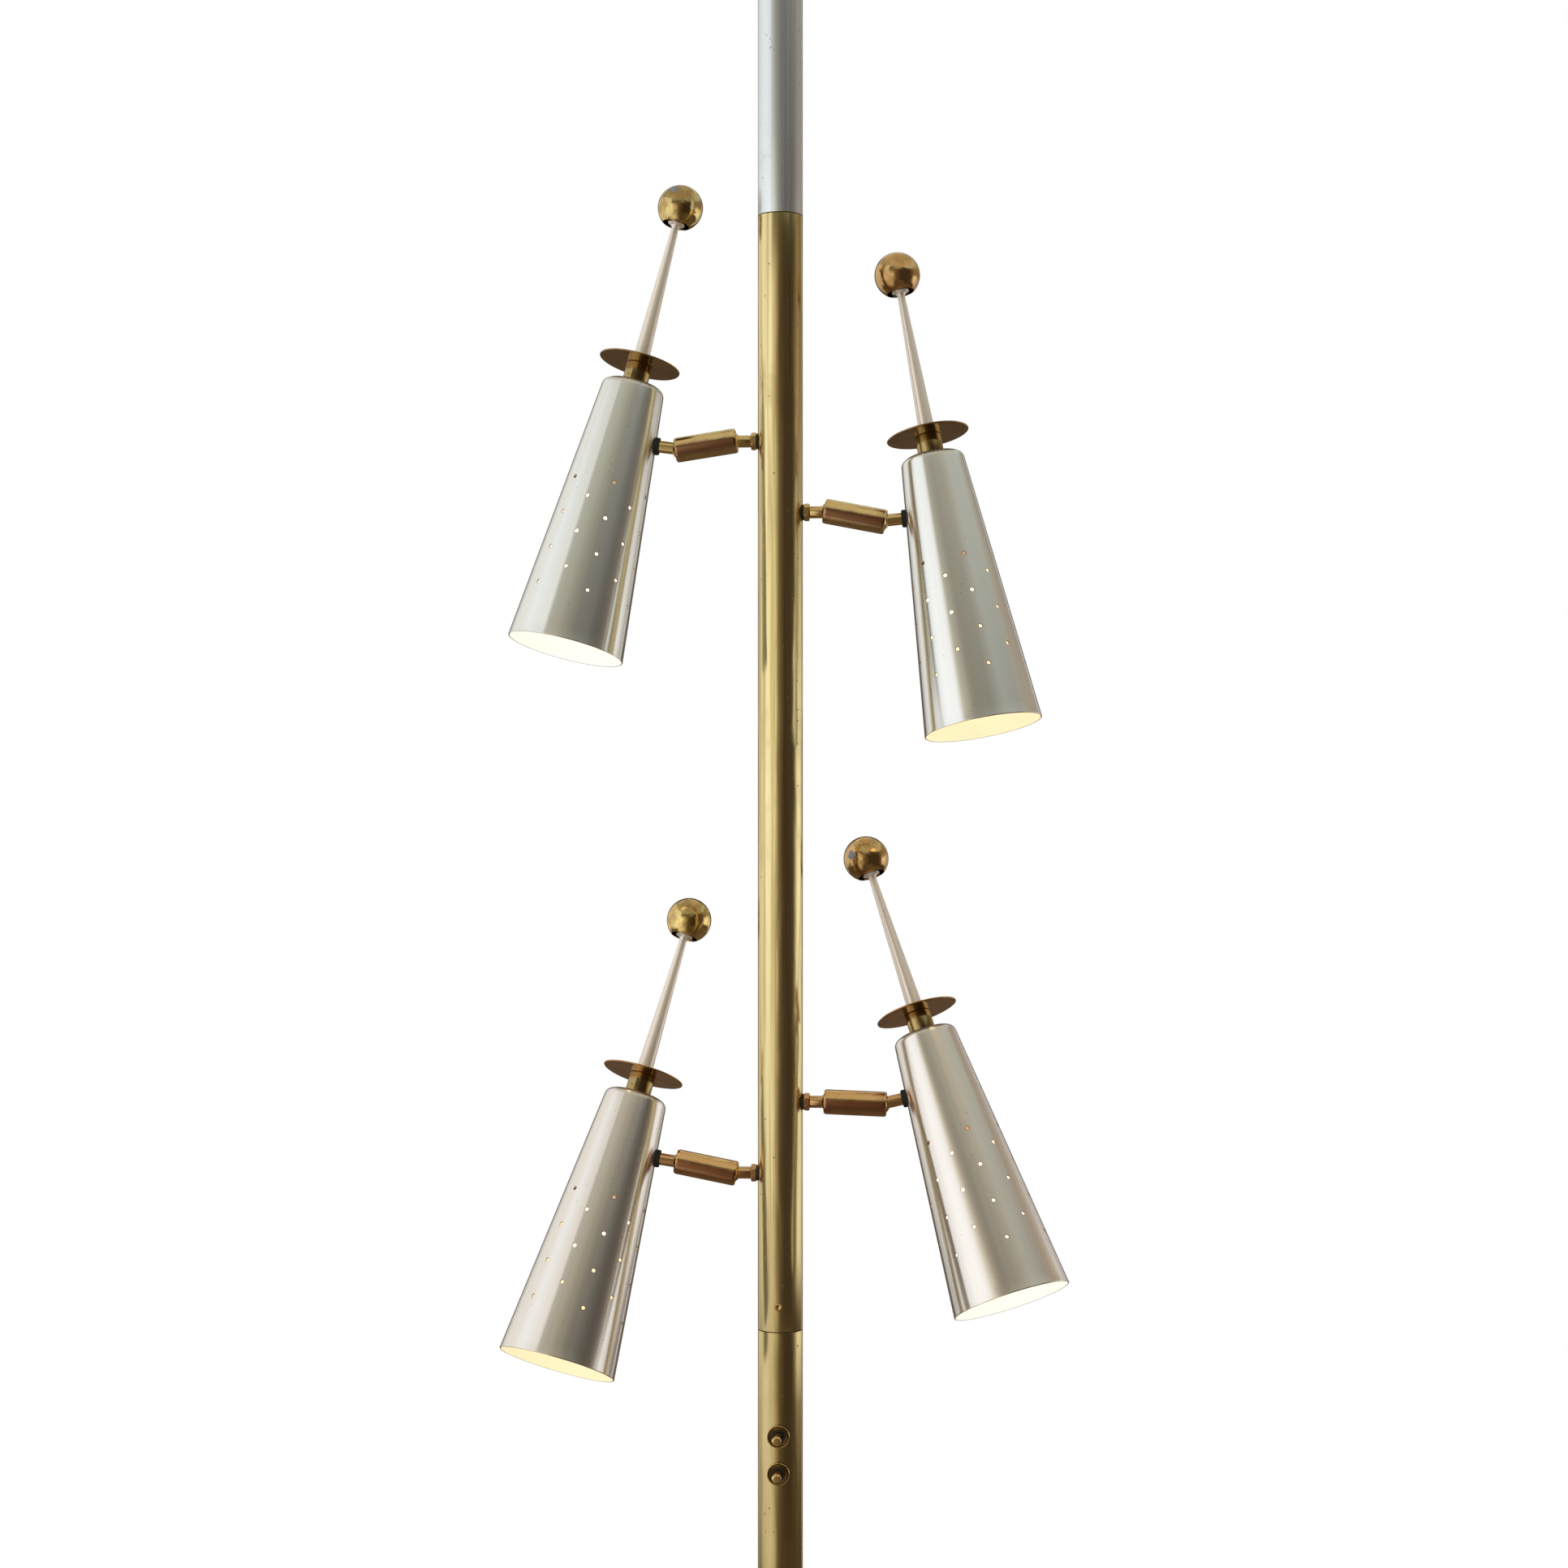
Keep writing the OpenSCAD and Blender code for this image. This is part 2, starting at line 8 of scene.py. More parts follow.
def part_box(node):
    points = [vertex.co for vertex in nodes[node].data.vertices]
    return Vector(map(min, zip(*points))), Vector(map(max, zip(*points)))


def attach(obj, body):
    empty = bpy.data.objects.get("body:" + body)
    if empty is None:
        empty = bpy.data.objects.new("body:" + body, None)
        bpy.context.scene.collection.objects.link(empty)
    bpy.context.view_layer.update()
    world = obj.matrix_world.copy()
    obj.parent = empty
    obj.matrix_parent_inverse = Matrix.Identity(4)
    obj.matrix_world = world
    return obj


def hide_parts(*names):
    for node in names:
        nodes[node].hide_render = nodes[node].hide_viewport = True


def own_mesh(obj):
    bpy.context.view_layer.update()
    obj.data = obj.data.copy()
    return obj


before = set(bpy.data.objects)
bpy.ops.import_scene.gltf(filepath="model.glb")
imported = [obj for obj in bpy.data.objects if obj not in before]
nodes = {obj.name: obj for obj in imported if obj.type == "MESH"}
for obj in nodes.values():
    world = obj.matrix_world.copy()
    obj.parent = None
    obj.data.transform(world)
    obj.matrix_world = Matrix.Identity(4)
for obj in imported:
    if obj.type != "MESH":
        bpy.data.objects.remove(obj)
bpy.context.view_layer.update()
scene = bpy.context.scene
scene.view_settings.view_transform = "Standard"
MM = 0.001

# ---- sizes, in mm, and angles, in degrees
# They are the solids' own, apart from BARREL_REACH, NUT_X and both washers' sizes, which follow the photograph closer.
LAMPS = ["upper_left", "upper_right", "lower_right", "lower_left"]
SIDES = [-1, 1, 1, -1]  # of the pole, as seen from the front
ARM_Z = [1754, 1693.5, 1195.5, 1135]
BARREL_SLOPE = [-8.5, -11, -2, 11]
NECK_SLOPE = [7.5, 5.2, 13.5, 8.6]
HEAD_TURN = [9.3, -8.1, -16.9, 20.1]
BALL_X = 42.8  # from the pole's axis to the first ball's middle
BALL_GAP = 41.4  # from there to the second ball's
NECK_REACH = 22.7  # from there to the shade's wall
POLE_R = 19.05
BORE_R = 17.8
LOWER_SEAM = 1003.5
UPPER_SEAM = 1944
TUBE_TOP = 2395
FOOT_H = 14
SWITCH_Z = [916.6, 885.3]
LOCK_Z = 1025.1
INLET_Z = 70
SWITCH_HOLE_R = 5.45
LOCK_HOLE_R = 3.45
INLET_HOLE_R = 6.15
PLUNGER_R = 17.4
PAD_Z = 2466
STUD_R = 4.8
STUD_HOLE_R = 4.95
LEAD_HOLE_R = 3
NECK_R = 5.1
BALL_R = 8.8
BALL_CUT = 68  # the angle at which a ball is cut off flat for its lead hole
SEAT_R = 9.0
BARREL_R = 10.5
BARREL_EDGE = 1.35
BARREL_INSET = 3.8
BARREL_REACH = 5.7
POLE_WASHER_R = 6.6
SHADE_WASHER_R = 7.5
SHADE_WASHER_T = 3.4
NUT_AF = 13
NUT_T = 4.4
NUT_X = 20.3
INNER_NUT_X = 11.8
MOUTH_R = 49.5
TOP_R = 26.5
SHADE_H = 236
SHADE_T = 0.9
SHOULDER_R = 6
WALL_LOW = 1.6  # the straight part of a shade's wall
WALL_TOP = 229.9
MOUNT_H = 188  # of the stud on the shade
SLOPE = (MOUTH_R - TOP_R) / SHADE_H
WALL_ANGLE = math.degrees(math.atan(SLOPE))
MOUNT_R = MOUTH_R - SLOPE * MOUNT_H
DISC_Z = 254.5
DISC_T = 1.3
DISC_R = 35
COLLAR_R = 11
COLLAR_BORE_R = 9.4
SPINDLE_Z = DISC_Z + DISC_T
SPINDLE_R = 6.8
SPINDLE_TIP_R = 3.1
SPINDLE_TOP = 414.5
BULB_R = 30
BULB_Z = 123
FINIAL_Z = 398.5
FINIAL_R = 19.5
FINIAL_HOLE_R = 11.75  # the ball is open below
HOLE_DROP = math.sqrt(FINIAL_R ** 2 - FINIAL_HOLE_R ** 2)
HOLE_R = 1.5
HOLE_PITCH = 32
HOLE_ROWS = [(-12, 45, 4), (18, 61, 3)]  # first angle, lowest height, holes up a column; six columns of each
# the camera's place, in m
VIEW_DISTANCE = 2.306
VIEW_AZIMUTH = math.radians(5)
EYE = 1.45


def turn(axis, degrees):
    return Matrix.Rotation(math.radians(degrees), 4, axis)


def move(x, y, z):
    return Matrix.Translation(Vector((x, y, z)) * MM)


def arm_frame(i):
    return turn("Z", 0 if SIDES[i] > 0 else 180) @ move(0, 0, ARM_Z[i])


def barrel_frame(i):
    return arm_frame(i) @ move(BALL_X, 0, 0) @ turn("Y", -BARREL_SLOPE[i])


def neck_frame(i):
    return (barrel_frame(i) @ move(BALL_GAP, 0, 0) @ turn("Y", BARREL_SLOPE[i] - NECK_SLOPE[i])
            @ turn("X", HEAD_TURN[i]))


def head_frame(i):
    return (neck_frame(i) @ move(NECK_REACH, 0, 0) @ turn("Y", -WALL_ANGLE)
            @ move(MOUNT_R, 0, -MOUNT_H) @ turn("Z", 180))


AT_MOUNT = move(MOUNT_R, 0, MOUNT_H) @ turn("Y", 90 - WALL_ANGLE)
ALONG_X = turn("Y", 90)


def front(z):
    return move(0, 0, z) @ turn("X", 90)


def back(z):
    return move(0, 0, z) @ turn("X", -90)


# ---- node helpers
class Shader:
    """A material under construction: makes nodes and links them."""

    def __init__(self, name):
        self.material = bpy.data.materials.new(name)
        self.material.use_nodes = True
        self.tree = self.material.node_tree
        self.bsdf = self.tree.nodes["Principled BSDF"]
        self.coords = self.tree.nodes.new("ShaderNodeTexCoord").outputs["Object"]

    def node(self, kind, values=None, **settings):
        n = self.tree.nodes.new(kind)
        for k, v in settings.items():
            setattr(n, k, v)
        for k, v in (values or {}).items():
            self.put(n.inputs[k], v)
        return n

    def put(self, socket, value):
        if isinstance(value, bpy.types.NodeSocket):
            self.tree.links.new(value, socket)
        else:
            socket.default_value = value

    def math(self, op, a, b=0.0, c=0.0, clamp=False):
        n = self.node("ShaderNodeMath", {0: a, 1: b, 2: c}, operation=op, use_clamp=clamp)
        return n.outputs[0]

    def times(self, a, b, clamp=False):
        return self.math("MULTIPLY", a, b, clamp=clamp)

    def plus(self, a, b):
        return self.math("ADD", a, b)

    def xyz(self):
        """A point's three coordinates, in m."""
        return self.node("ShaderNodeSeparateXYZ", {"Vector": self.coords}).outputs

    def length(self, a, b):
        return self.math("SQRT", self.plus(self.times(a, a), self.times(b, b)))

    def bearing(self, x, y):
        """The angle round the z axis from -y towards +x, in degrees."""
        return self.math("DEGREES", self.math("ARCTAN2", x, self.times(y, -1.0)))

    def round_coords(self, swirl, along):
        """Coordinates round and along a turned piece: the unit circle times swirl, and the height times along."""
        x, y, z = self.xyz()
        angle = self.math("ARCTAN2", x, y)
        return self.node("ShaderNodeCombineXYZ", {
            0: self.times(self.math("COSINE", angle), swirl),
            1: self.times(self.math("SINE", angle), swirl),
            2: self.times(z, along)}).outputs[0]

    def noise(self, coords, scale, detail=3.0, rough=0.5, distort=0.0):
        return self.node("ShaderNodeTexNoise", {"Vector": coords, "Scale": scale, "Detail": detail,
                                                "Roughness": rough, "Distortion": distort}).outputs["Fac"]

    def grey(self, fac, low, high, from_low=0.0, from_high=1.0):
        """low at from_low, high at from_high, straight between them."""
        return self.node("ShaderNodeMapRange", {"Value": fac, "From Min": from_low, "From Max": from_high,
                                                "To Min": low, "To Max": high}).outputs[0]

    def smooth(self, value, start, end):
        """0 at start, 1 at end, eased at both."""
        return self.node("ShaderNodeMapRange", {"Value": value, "From Min": start, "From Max": end},
                         interpolation_type="SMOOTHSTEP").outputs[0]

    def mix(self, fac, a, b):
        n = self.node("ShaderNodeMix", data_type="RGBA")
        self.put(n.inputs[0], fac)
        self.put(n.inputs[6], a if isinstance(a, bpy.types.NodeSocket) else (*a, 1))
        self.put(n.inputs[7], b if isinstance(b, bpy.types.NodeSocket) else (*b, 1))
        return n.outputs[2]

    def bump(self, height, distance, strength=1.0, normal=None):
        values = {"Height": height, "Distance": distance, "Strength": strength}
        if normal is not None:
            values["Normal"] = normal
        return self.node("ShaderNodeBump", values).outputs[0]

    def finish(self, **sockets):
        for k, v in sockets.items():
            self.put(self.bsdf.inputs[k.replace("_", " ").title()], v)
        return self.material

    def surface(self, shader):
        """The material with this shader in place of the principled one."""
        self.put(self.tree.nodes["Material Output"].inputs["Surface"], shader)
        return self.material


# ---- materials
def hole_distance(s):
    """How far a point of a shade is from the middle of its nearest pierced hole, in m."""
    x, y, z = s.xyz()
    radius = s.length(x, y)
    angle = s.math("ARCTAN2", y, x)
    found = None
    for first, low, rows in HOLE_ROWS:
        off = s.math("WRAP", s.math("SUBTRACT", angle, math.radians(first)), math.pi / 6, -math.pi / 6)
        side = s.times(off, radius)
        steps = s.math("DIVIDE", s.math("SUBTRACT", z, low * MM), HOLE_PITCH * MM)
        row = s.math("MINIMUM", s.math("MAXIMUM", s.math("ROUND", steps), 0), rows - 1)
        up = s.times(s.math("SUBTRACT", steps, row), HOLE_PITCH * MM)
        far = s.length(side, up)
        found = far if found is None else s.math("MINIMUM", found, far)
    return found


def streaked_metal(name, light, dark, stain, rough, swirl, along, streak, blotch, stain_from=0.58, stain_amount=0.5,
                   grain=2.0e-5, speck=None, wave=None, brushed=0.0, spot=None, runs=None, rims=None, darken_below=None,
                   drawn=0.0, metal=1.0, underside_shade=None):
    """Drawn, spun or brushed metal: fine streaks, slow blotches of tarnish, specks and worn patches.

    The streaks change between the light and the dark colour: swirl and along are how often they do so round and along
    the piece, and streak how softly. blotch is how often the cloud of tarnish changes in a metre, stain_from the level
    of it where the stain begins, and stain_amount the stain's most. grain is the streaks' depth in m, and speck how
    many dark specks lie in a metre, their size and how rare they are.
    wave is the height in m, and the swirl and along, of the slow unevenness that bends reflections. brushed is how much
    grooves round the piece spread reflections along it, and drawn how much grooves along it spread them round it. spot
    is the place and radius of a worn patch, in mm. runs is the swirl, along, amount and start of long brown streaks,
    rims the colour round a shade's pierced holes, and darken_below the heights in m over which the colour darkens
    towards the bottom, and how much. metal is how metallic the dulled surface still is, and the belly colour is painted
    shade on a lying barrel, from just above its middle downwards.
    """
    s = Shader(name)
    fine = s.noise(s.round_coords(swirl, along), 1.0, 4.0, 0.6)
    broad = s.noise(s.round_coords(swirl / 6, along / 1.5), 1.0, 2.0, 0.5)
    lines = s.plus(s.times(fine, 0.65), s.times(broad, 0.35))
    tone = s.grey(lines, 0.5 - streak, 0.5 + streak, 0.25, 0.75)
    colour = s.mix(tone, dark, light)
    cloud = s.noise(s.coords, blotch, 5.0, 0.62, 0.6)
    # painted shade: a lying barrel's underside darkens to the belly colour, from just above its middle downwards
    if underside_shade:
        down = s.plus(s.xyz()[0], s.grey(s.noise(s.coords, 110.0, 3.0), -0.8 * MM, 0.8 * MM, 0.3, 0.7))
        lowest = s.plus(s.times(s.smooth(down, 9 * MM, 3.5 * MM), 0.65), 0.35)
        shade_band = s.math("MINIMUM", s.smooth(down, -4.8 * MM, -1.2 * MM), lowest)
        colour = s.mix(s.times(shade_band, 0.92), colour, underside_shade)
    dirt = s.times(s.grey(cloud, 0, 1, stain_from, stain_from + 0.16), stain_amount, clamp=True)
    # darker towards the bottom, between two given heights
    if darken_below:
        dirt = s.math("MAXIMUM", dirt, s.times(s.grey(s.xyz()[2], darken_below[2], 0, darken_below[0], darken_below[1]),
                                               s.grey(cloud, 0.5, 1, 0.35, 0.65)))
    if runs:
        run = s.noise(s.round_coords(runs[0], runs[1]), 1.0, 3.0, 0.55, 0.3)
        dirt = s.math("MAXIMUM", dirt, s.times(s.grey(run, 0, 1, runs[3], runs[3] + 0.22), runs[2], clamp=True))
    colour = s.mix(dirt, colour, stain)
    roughness = s.plus(s.grey(lines, rough * 0.88, rough * 1.12, 0.3, 0.7), s.times(dirt, 0.1))
    if speck:
        dots = s.node("ShaderNodeTexVoronoi", {"Vector": s.coords, "Scale": speck[0], "Randomness": 1.0},
                      feature="F1")
        pick = s.node("ShaderNodeSeparateColor", {"Color": dots.outputs["Color"]}).outputs[0]
        near = s.math("LESS_THAN", dots.outputs["Distance"], s.times(pick, speck[1]))
        rare = s.math("GREATER_THAN", pick, speck[2])
        spots = s.times(near, rare)
        colour = s.mix(s.times(spots, 0.75), colour, stain)
        roughness = s.plus(roughness, s.times(spots, 0.25))
    height = s.plus(fine, s.times(cloud, 0.3))
    normal = s.bump(height, grain, 0.8)
    if wave:
        slow = s.noise(s.round_coords(wave[1], wave[2]), 1.0, 1.5, 0.4, 0.5)
        normal = s.bump(slow, wave[0], 1.0, normal)
    metallic = metal
    if rims:
        rim = s.grey(hole_distance(s), 0.85, 0, (HOLE_R + 0.1) * MM, (HOLE_R + 0.7) * MM)
        colour = s.mix(rim, colour, rims)
        roughness = s.plus(roughness, s.times(rim, 0.2))
    if spot:
        place = s.node("ShaderNodeVectorMath", {0: s.coords, 1: [c * MM for c in spot[0]]}, operation="DISTANCE")
        edge = s.plus(place.outputs["Value"], s.grey(s.noise(s.coords, 380.0, 4.0), -0.0016, 0.0016, 0.3, 0.7))
        worn = s.grey(edge, 1, 0, spot[1] * MM * 0.8, spot[1] * MM * 1.1)
        pit = s.noise(s.coords, 900.0, 4.0, 0.7)
        colour = s.mix(worn, colour, s.mix(s.grey(pit, 0, 1, 0.35, 0.65), (0.11, 0.12, 0.15), (0.36, 0.38, 0.42)))
        roughness = s.plus(roughness, s.times(worn, 0.4))
        metallic = s.math("SUBTRACT", metal, s.times(worn, 0.5))
    m = s.finish(base_color=colour, metallic=metallic, roughness=roughness, normal=normal)
    if brushed or drawn:
        s.bsdf.inputs["Anisotropic"].default_value = brushed or drawn
        s.bsdf.inputs["Anisotropic Rotation"].default_value = 0.25 if brushed else 0.0
        s.put(s.bsdf.inputs["Tangent"], s.node("ShaderNodeTangent", direction_type="RADIAL", axis="Z").outputs[0])
    return m


def rubber(name, colour, rough=0.62, grain=900.0):
    """Matt black rubber, fibre or plastic with dust on it."""
    s = Shader(name)
    pores = s.noise(s.coords, grain, 4.0, 0.6)
    dust = s.noise(s.coords, 60.0, 4.0, 0.6)
    tint = s.mix(s.grey(dust, 0, 0.3, 0.5, 0.8), colour, tuple(min(1, c * 3 + 0.02) for c in colour))
    s.bsdf.inputs["Specular IOR Level"].default_value = 0.25
    return s.finish(base_color=tint, roughness=s.grey(pores, rough - 0.1, rough + 0.12, 0.3, 0.7),
                    normal=s.bump(pores, 8e-5, 0.6))


def white_paint(name, colour, shaded_top):
    """White enamel inside a shade, with a painted glow near its mouth for the bulb's light, and painted shade turning
    it dark brown towards its top.
    """
    s = Shader(name)
    peel = s.noise(s.coords, 420.0, 3.0, 0.5)
    age = s.noise(s.coords, 22.0, 4.0, 0.6)
    up = s.xyz()[2]
    # painted shade: darker brown towards the shade's top
    top_shade = s.times(s.grey(s.plus(up, s.times(age, 0.03)), 0, 1, 0.105, 0.17), 0.96)
    clean = s.mix(s.grey(age, 0, 0.7, 0.45, 0.8), colour, tuple(c * 0.88 for c in colour))
    # painted glow: the enamel near the mouth gives off light of its own colour
    lit = s.mix(s.smooth(up, 0.075, 0.125), colour, (0, 0, 0))
    m = s.finish(base_color=s.mix(top_shade, clean, shaded_top), emission_color=lit,
                 roughness=s.grey(peel, 0.35, 0.5, 0.3, 0.7), normal=s.bump(peel, 3e-5, 0.5))
    s.bsdf.inputs["Emission Strength"].default_value = 0.25
    return m


def lit_glass(name, colour, strength):
    """Opal glass that glows, and fades to a dull brown towards the bulb's cap."""
    s = Shader(name)
    glow = s.smooth(s.xyz()[2], 0.15, 0.105)
    cloud = s.noise(s.coords, 40.0, 2.0, 0.5)
    tint = s.mix(s.grey(cloud, 0, 0.5, 0.4, 0.7), colour, tuple(c * 0.93 for c in colour))
    m = s.finish(base_color=tint, roughness=0.32, emission_color=s.mix(glow, (0.13, 0.06, 0.02), colour))
    s.bsdf.inputs["Emission Strength"].default_value = strength
    return m


BRASS_TUBE = streaked_metal("brass_tube", (0.93, 0.81, 0.45), (0.76, 0.61, 0.28), (0.42, 0.29, 0.11), 0.17,
                            swirl=7.0, along=4.5, streak=0.5, blotch=6.0, stain_from=0.5, stain_amount=0.5,
                            grain=4e-6, speck=(260.0, 0.25, 0.97), wave=(9e-4, 1.1, 11.0),
                            runs=(5.0, 2.6, 0.75, 0.46), darken_below=(0.7, 1.5, 0.85), drawn=0.6)
ALU_TUBE = streaked_metal("aluminium_tube", (0.85, 0.90, 0.92), (0.68, 0.73, 0.75), (0.40, 0.42, 0.42), 0.27,
                          swirl=16.0, along=4.0, streak=0.5, blotch=16.0, stain_from=0.62, stain_amount=0.4,
                          grain=1.2e-5, speck=(300.0, 0.25, 0.96), wave=(1.5e-4, 0.9, 10.0), drawn=0.65, metal=0.9)


def spun_aluminium(name, cool, warm):
    return streaked_metal(name, cool, warm, (0.56, 0.50, 0.42), 0.2,
                          swirl=6.0, along=1.0, streak=0.4, blotch=10.0, stain_from=0.66, stain_amount=0.25,
                          grain=3e-6, speck=(420.0, 0.22, 0.985), wave=(1.2e-4, 1.3, 2.0), brushed=1.0,
                          rims=(0.36, 0.24, 0.17), metal=0.96)


# the lower pair's copy is tinted warmer: a painted reflection of the warmer room they mirror
SHADE_ALU = {"upper": spun_aluminium("spun_aluminium", (0.89, 0.94, 0.96), (0.88, 0.84, 0.77)),
             "lower": spun_aluminium("spun_aluminium_painted_warm_reflection", (0.91, 0.93, 0.93), (0.87, 0.75, 0.65))}
SPINDLE_ALU = streaked_metal("spindle_aluminium", (0.95, 0.88, 0.80), (0.87, 0.77, 0.67), (0.55, 0.40, 0.31), 0.34,
                             swirl=1.5, along=8.0, streak=0.5, blotch=60.0, stain_from=0.64, stain_amount=0.35,
                             grain=1e-6, speck=(500.0, 0.25, 0.98), brushed=0.9, metal=0.75)
BRASS = streaked_metal("polished_brass", (0.88, 0.68, 0.34), (0.74, 0.53, 0.22), (0.36, 0.22, 0.09), 0.11,
                       swirl=5.0, along=20.0, streak=0.35, blotch=60.0, stain_from=0.6, stain_amount=0.45,
                       grain=4e-6, speck=(500.0, 0.3, 0.95))
COPPERY = streaked_metal("coppery_brass", (0.88, 0.58, 0.31), (0.70, 0.40, 0.18), (0.34, 0.17, 0.08), 0.13,
                         swirl=5.0, along=20.0, streak=0.35, blotch=60.0, stain_from=0.56, stain_amount=0.5,
                         grain=4e-6, speck=(500.0, 0.3, 0.95))
SMALL_BRASS = {"upper_left": BRASS, "upper_right": BRASS, "lower_right": COPPERY, "lower_left": COPPERY}


def amber_brass(name, light, dark, underside_shade):
    return streaked_metal(name, light, dark, (0.34, 0.14, 0.08), 0.16,
                          swirl=2.5, along=40.0, streak=0.4, blotch=50.0, stain_from=0.5, stain_amount=0.55,
                          grain=4e-6, speck=(600.0, 0.2, 0.98), wave=(1.5e-4, 1.2, 40.0), underside_shade=underside_shade)


# the last colour of each is painted shade on the barrel's underside
AMBER = amber_brass("amber_brass", (0.98, 0.79, 0.40), (0.84, 0.62, 0.28), (0.46, 0.24, 0.15))
COPPER_AMBER = amber_brass("copper_amber_brass", (0.98, 0.68, 0.34), (0.84, 0.50, 0.21), (0.48, 0.22, 0.12))
# darker than the other brass: painted shade for the collar, which stands under its disc
COLLAR_BRASS_SHADED = streaked_metal("collar_brass_shaded", (0.50, 0.38, 0.16), (0.30, 0.21, 0.09), (0.13, 0.09, 0.05), 0.12,
                              swirl=6.0, along=12.0, streak=0.4, blotch=80.0, stain_from=0.58, stain_amount=0.5,
                              grain=4e-6, speck=(600.0, 0.3, 0.94))


def disc_brass(name, light, dark, stain):
    return streaked_metal(name, light, dark, stain, 0.12, swirl=3.0, along=10.0, streak=0.3, blotch=40.0,
                          stain_from=0.52, stain_amount=0.6, grain=4e-6, speck=(420.0, 0.3, 0.95))


DISC_BRASS = {"upper": disc_brass("disc_brass", (0.62, 0.42, 0.21), (0.38, 0.25, 0.12), (0.18, 0.11, 0.06)),
              "lower": disc_brass("coppery_disc_brass", (0.80, 0.47, 0.22), (0.52, 0.28, 0.12), (0.24, 0.11, 0.05))}


def ball_brass(lamp, light, dark, spot=None):
    return streaked_metal(f"ball_brass_{lamp}", light, dark, (0.30, 0.16, 0.06), 0.11,
                          swirl=2.0, along=12.0, streak=0.3, blotch=38.0, stain_from=0.46, stain_amount=0.6,
                          grain=1.5e-6, speck=(420.0, 0.3, 0.985), wave=(8e-4, 1.7, 90.0), spot=spot)


DARK_BRASS = streaked_metal("browned_brass", (0.30, 0.20, 0.10), (0.14, 0.09, 0.05), (0.05, 0.035, 0.02), 0.3,
                            swirl=4.0, along=60.0, streak=0.4, blotch=120.0, grain=1.5e-5)
STEEL = streaked_metal("bright_steel", (0.66, 0.66, 0.67), (0.45, 0.45, 0.46), (0.25, 0.22, 0.2), 0.3,
                       swirl=8.0, along=40.0, streak=0.4, blotch=60.0, grain=2.0e-5)
RUBBER = rubber("black_rubber", (0.014, 0.012, 0.010))
FIBRE = rubber("black_fibre", (0.014, 0.012, 0.010), 0.55, 1500.0)
PLASTIC = rubber("black_plastic", (0.018, 0.017, 0.016), 0.4, 700.0)
BUTTON_FACE = streaked_metal("button_face", (0.34, 0.19, 0.11), (0.22, 0.12, 0.07), (0.1, 0.06, 0.04), 0.3,
                             swirl=4.0, along=60.0, streak=0.4, blotch=90.0, grain=4e-6)
# the last colour of each is the painted shade towards the shade's top
WHITE_ENAMEL = white_paint("white_enamel", (0.9, 0.88, 0.82), (0.16, 0.08, 0.04))
CREAM_ENAMEL = white_paint("cream_enamel", (0.9, 0.80, 0.60), (0.16, 0.08, 0.04))
BULB_GLASS = lit_glass("opal_glass", (1.0, 0.90, 0.70), 3.0)


# ---- mesh helpers
def rounded(points, radius, steps=3):
    """The profile with each inner corner replaced by an arc-like curve of about this radius."""
    out = [points[0]]
    for a, b, c in zip(points, points[1:], points[2:]):
        a, b, c = Vector(a), Vector(b), Vector(c)
        ab, cb = (a - b), (c - b)
        if ab.length < 1e-6 or cb.length < 1e-6:
            continue
        r = min(radius, ab.length * 0.45, cb.length * 0.45)
        p, q = b + ab.normalized() * r, b + cb.normalized() * r
        for k in range(steps + 1):
            t = k / steps
            out.append(tuple(p * (1 - t) ** 2 + b * 2 * t * (1 - t) + q * t * t))
    out.append(points[-1])
    return out


def arc(cx, cz, r, a0, a1, steps):
    """Points of an arc round (cx, cz), between two angles in degrees."""
    return [(cx + r * math.cos(math.radians(a0 + (a1 - a0) * k / steps)),
             cz + r * math.sin(math.radians(a0 + (a1 - a0) * k / steps))) for k in range(steps + 1)]


def link(name, mesh, place, material):
    o = bpy.data.objects.new(name, mesh)
    scene.collection.objects.link(o)
    o.matrix_world = place
    for m in material if isinstance(material, (list, tuple)) else [material]:
        mesh.materials.append(m)
    return o


def meshed(name, bm):
    mesh = bpy.data.meshes.new(name)
    bm.to_mesh(mesh)
    bm.free()
    return mesh


def settle(mesh, angle=32):
    """Smooth shading, with edges sharper than the angle kept."""
    mesh.shade_smooth()
    mesh.set_sharp_from_angle(angle=math.radians(angle))


def turned(name, profile, place, material, segments=96, closed=False, shape=None, angle=32, zones=None):
    """A lathe-turned mesh: (radius, height) points in mm.

    closed joins the last point to the first. shape(r, z, angle) may change a point, and zones picks the material of
    the ring of faces after a point.
    """
    bm = bmesh.new()
    rings = []
    for r, z in profile:
        if r < 1e-6:
            rings.append([bm.verts.new((0, 0, z * MM))])
            continue
        ring = []
        for k in range(segments):
            a = 2 * math.pi * k / segments
            rr, zz = shape(r, z, a) if shape else (r, z)
            ring.append(bm.verts.new((rr * math.cos(a) * MM, rr * math.sin(a) * MM, zz * MM)))
        rings.append(ring)
    pairs = list(zip(rings, rings[1:]))
    if closed:
        pairs.append((rings[-1], rings[0]))
    for n, (a, b) in enumerate(pairs):
        for k in range(segments):
            j = (k + 1) % segments
            corners = [a[k % len(a)], a[j % len(a)], b[j % len(b)], b[k % len(b)]]
            corners = [v for i, v in enumerate(corners) if v not in corners[:i]]
            if len(corners) > 2:
                f = bm.faces.new(corners)
                f.material_index = zones(n) if zones else 0
    bmesh.ops.recalc_face_normals(bm, faces=bm.faces)
    o = link(name, meshed(name, bm), place, material)
    settle(o.data, angle)
    return o


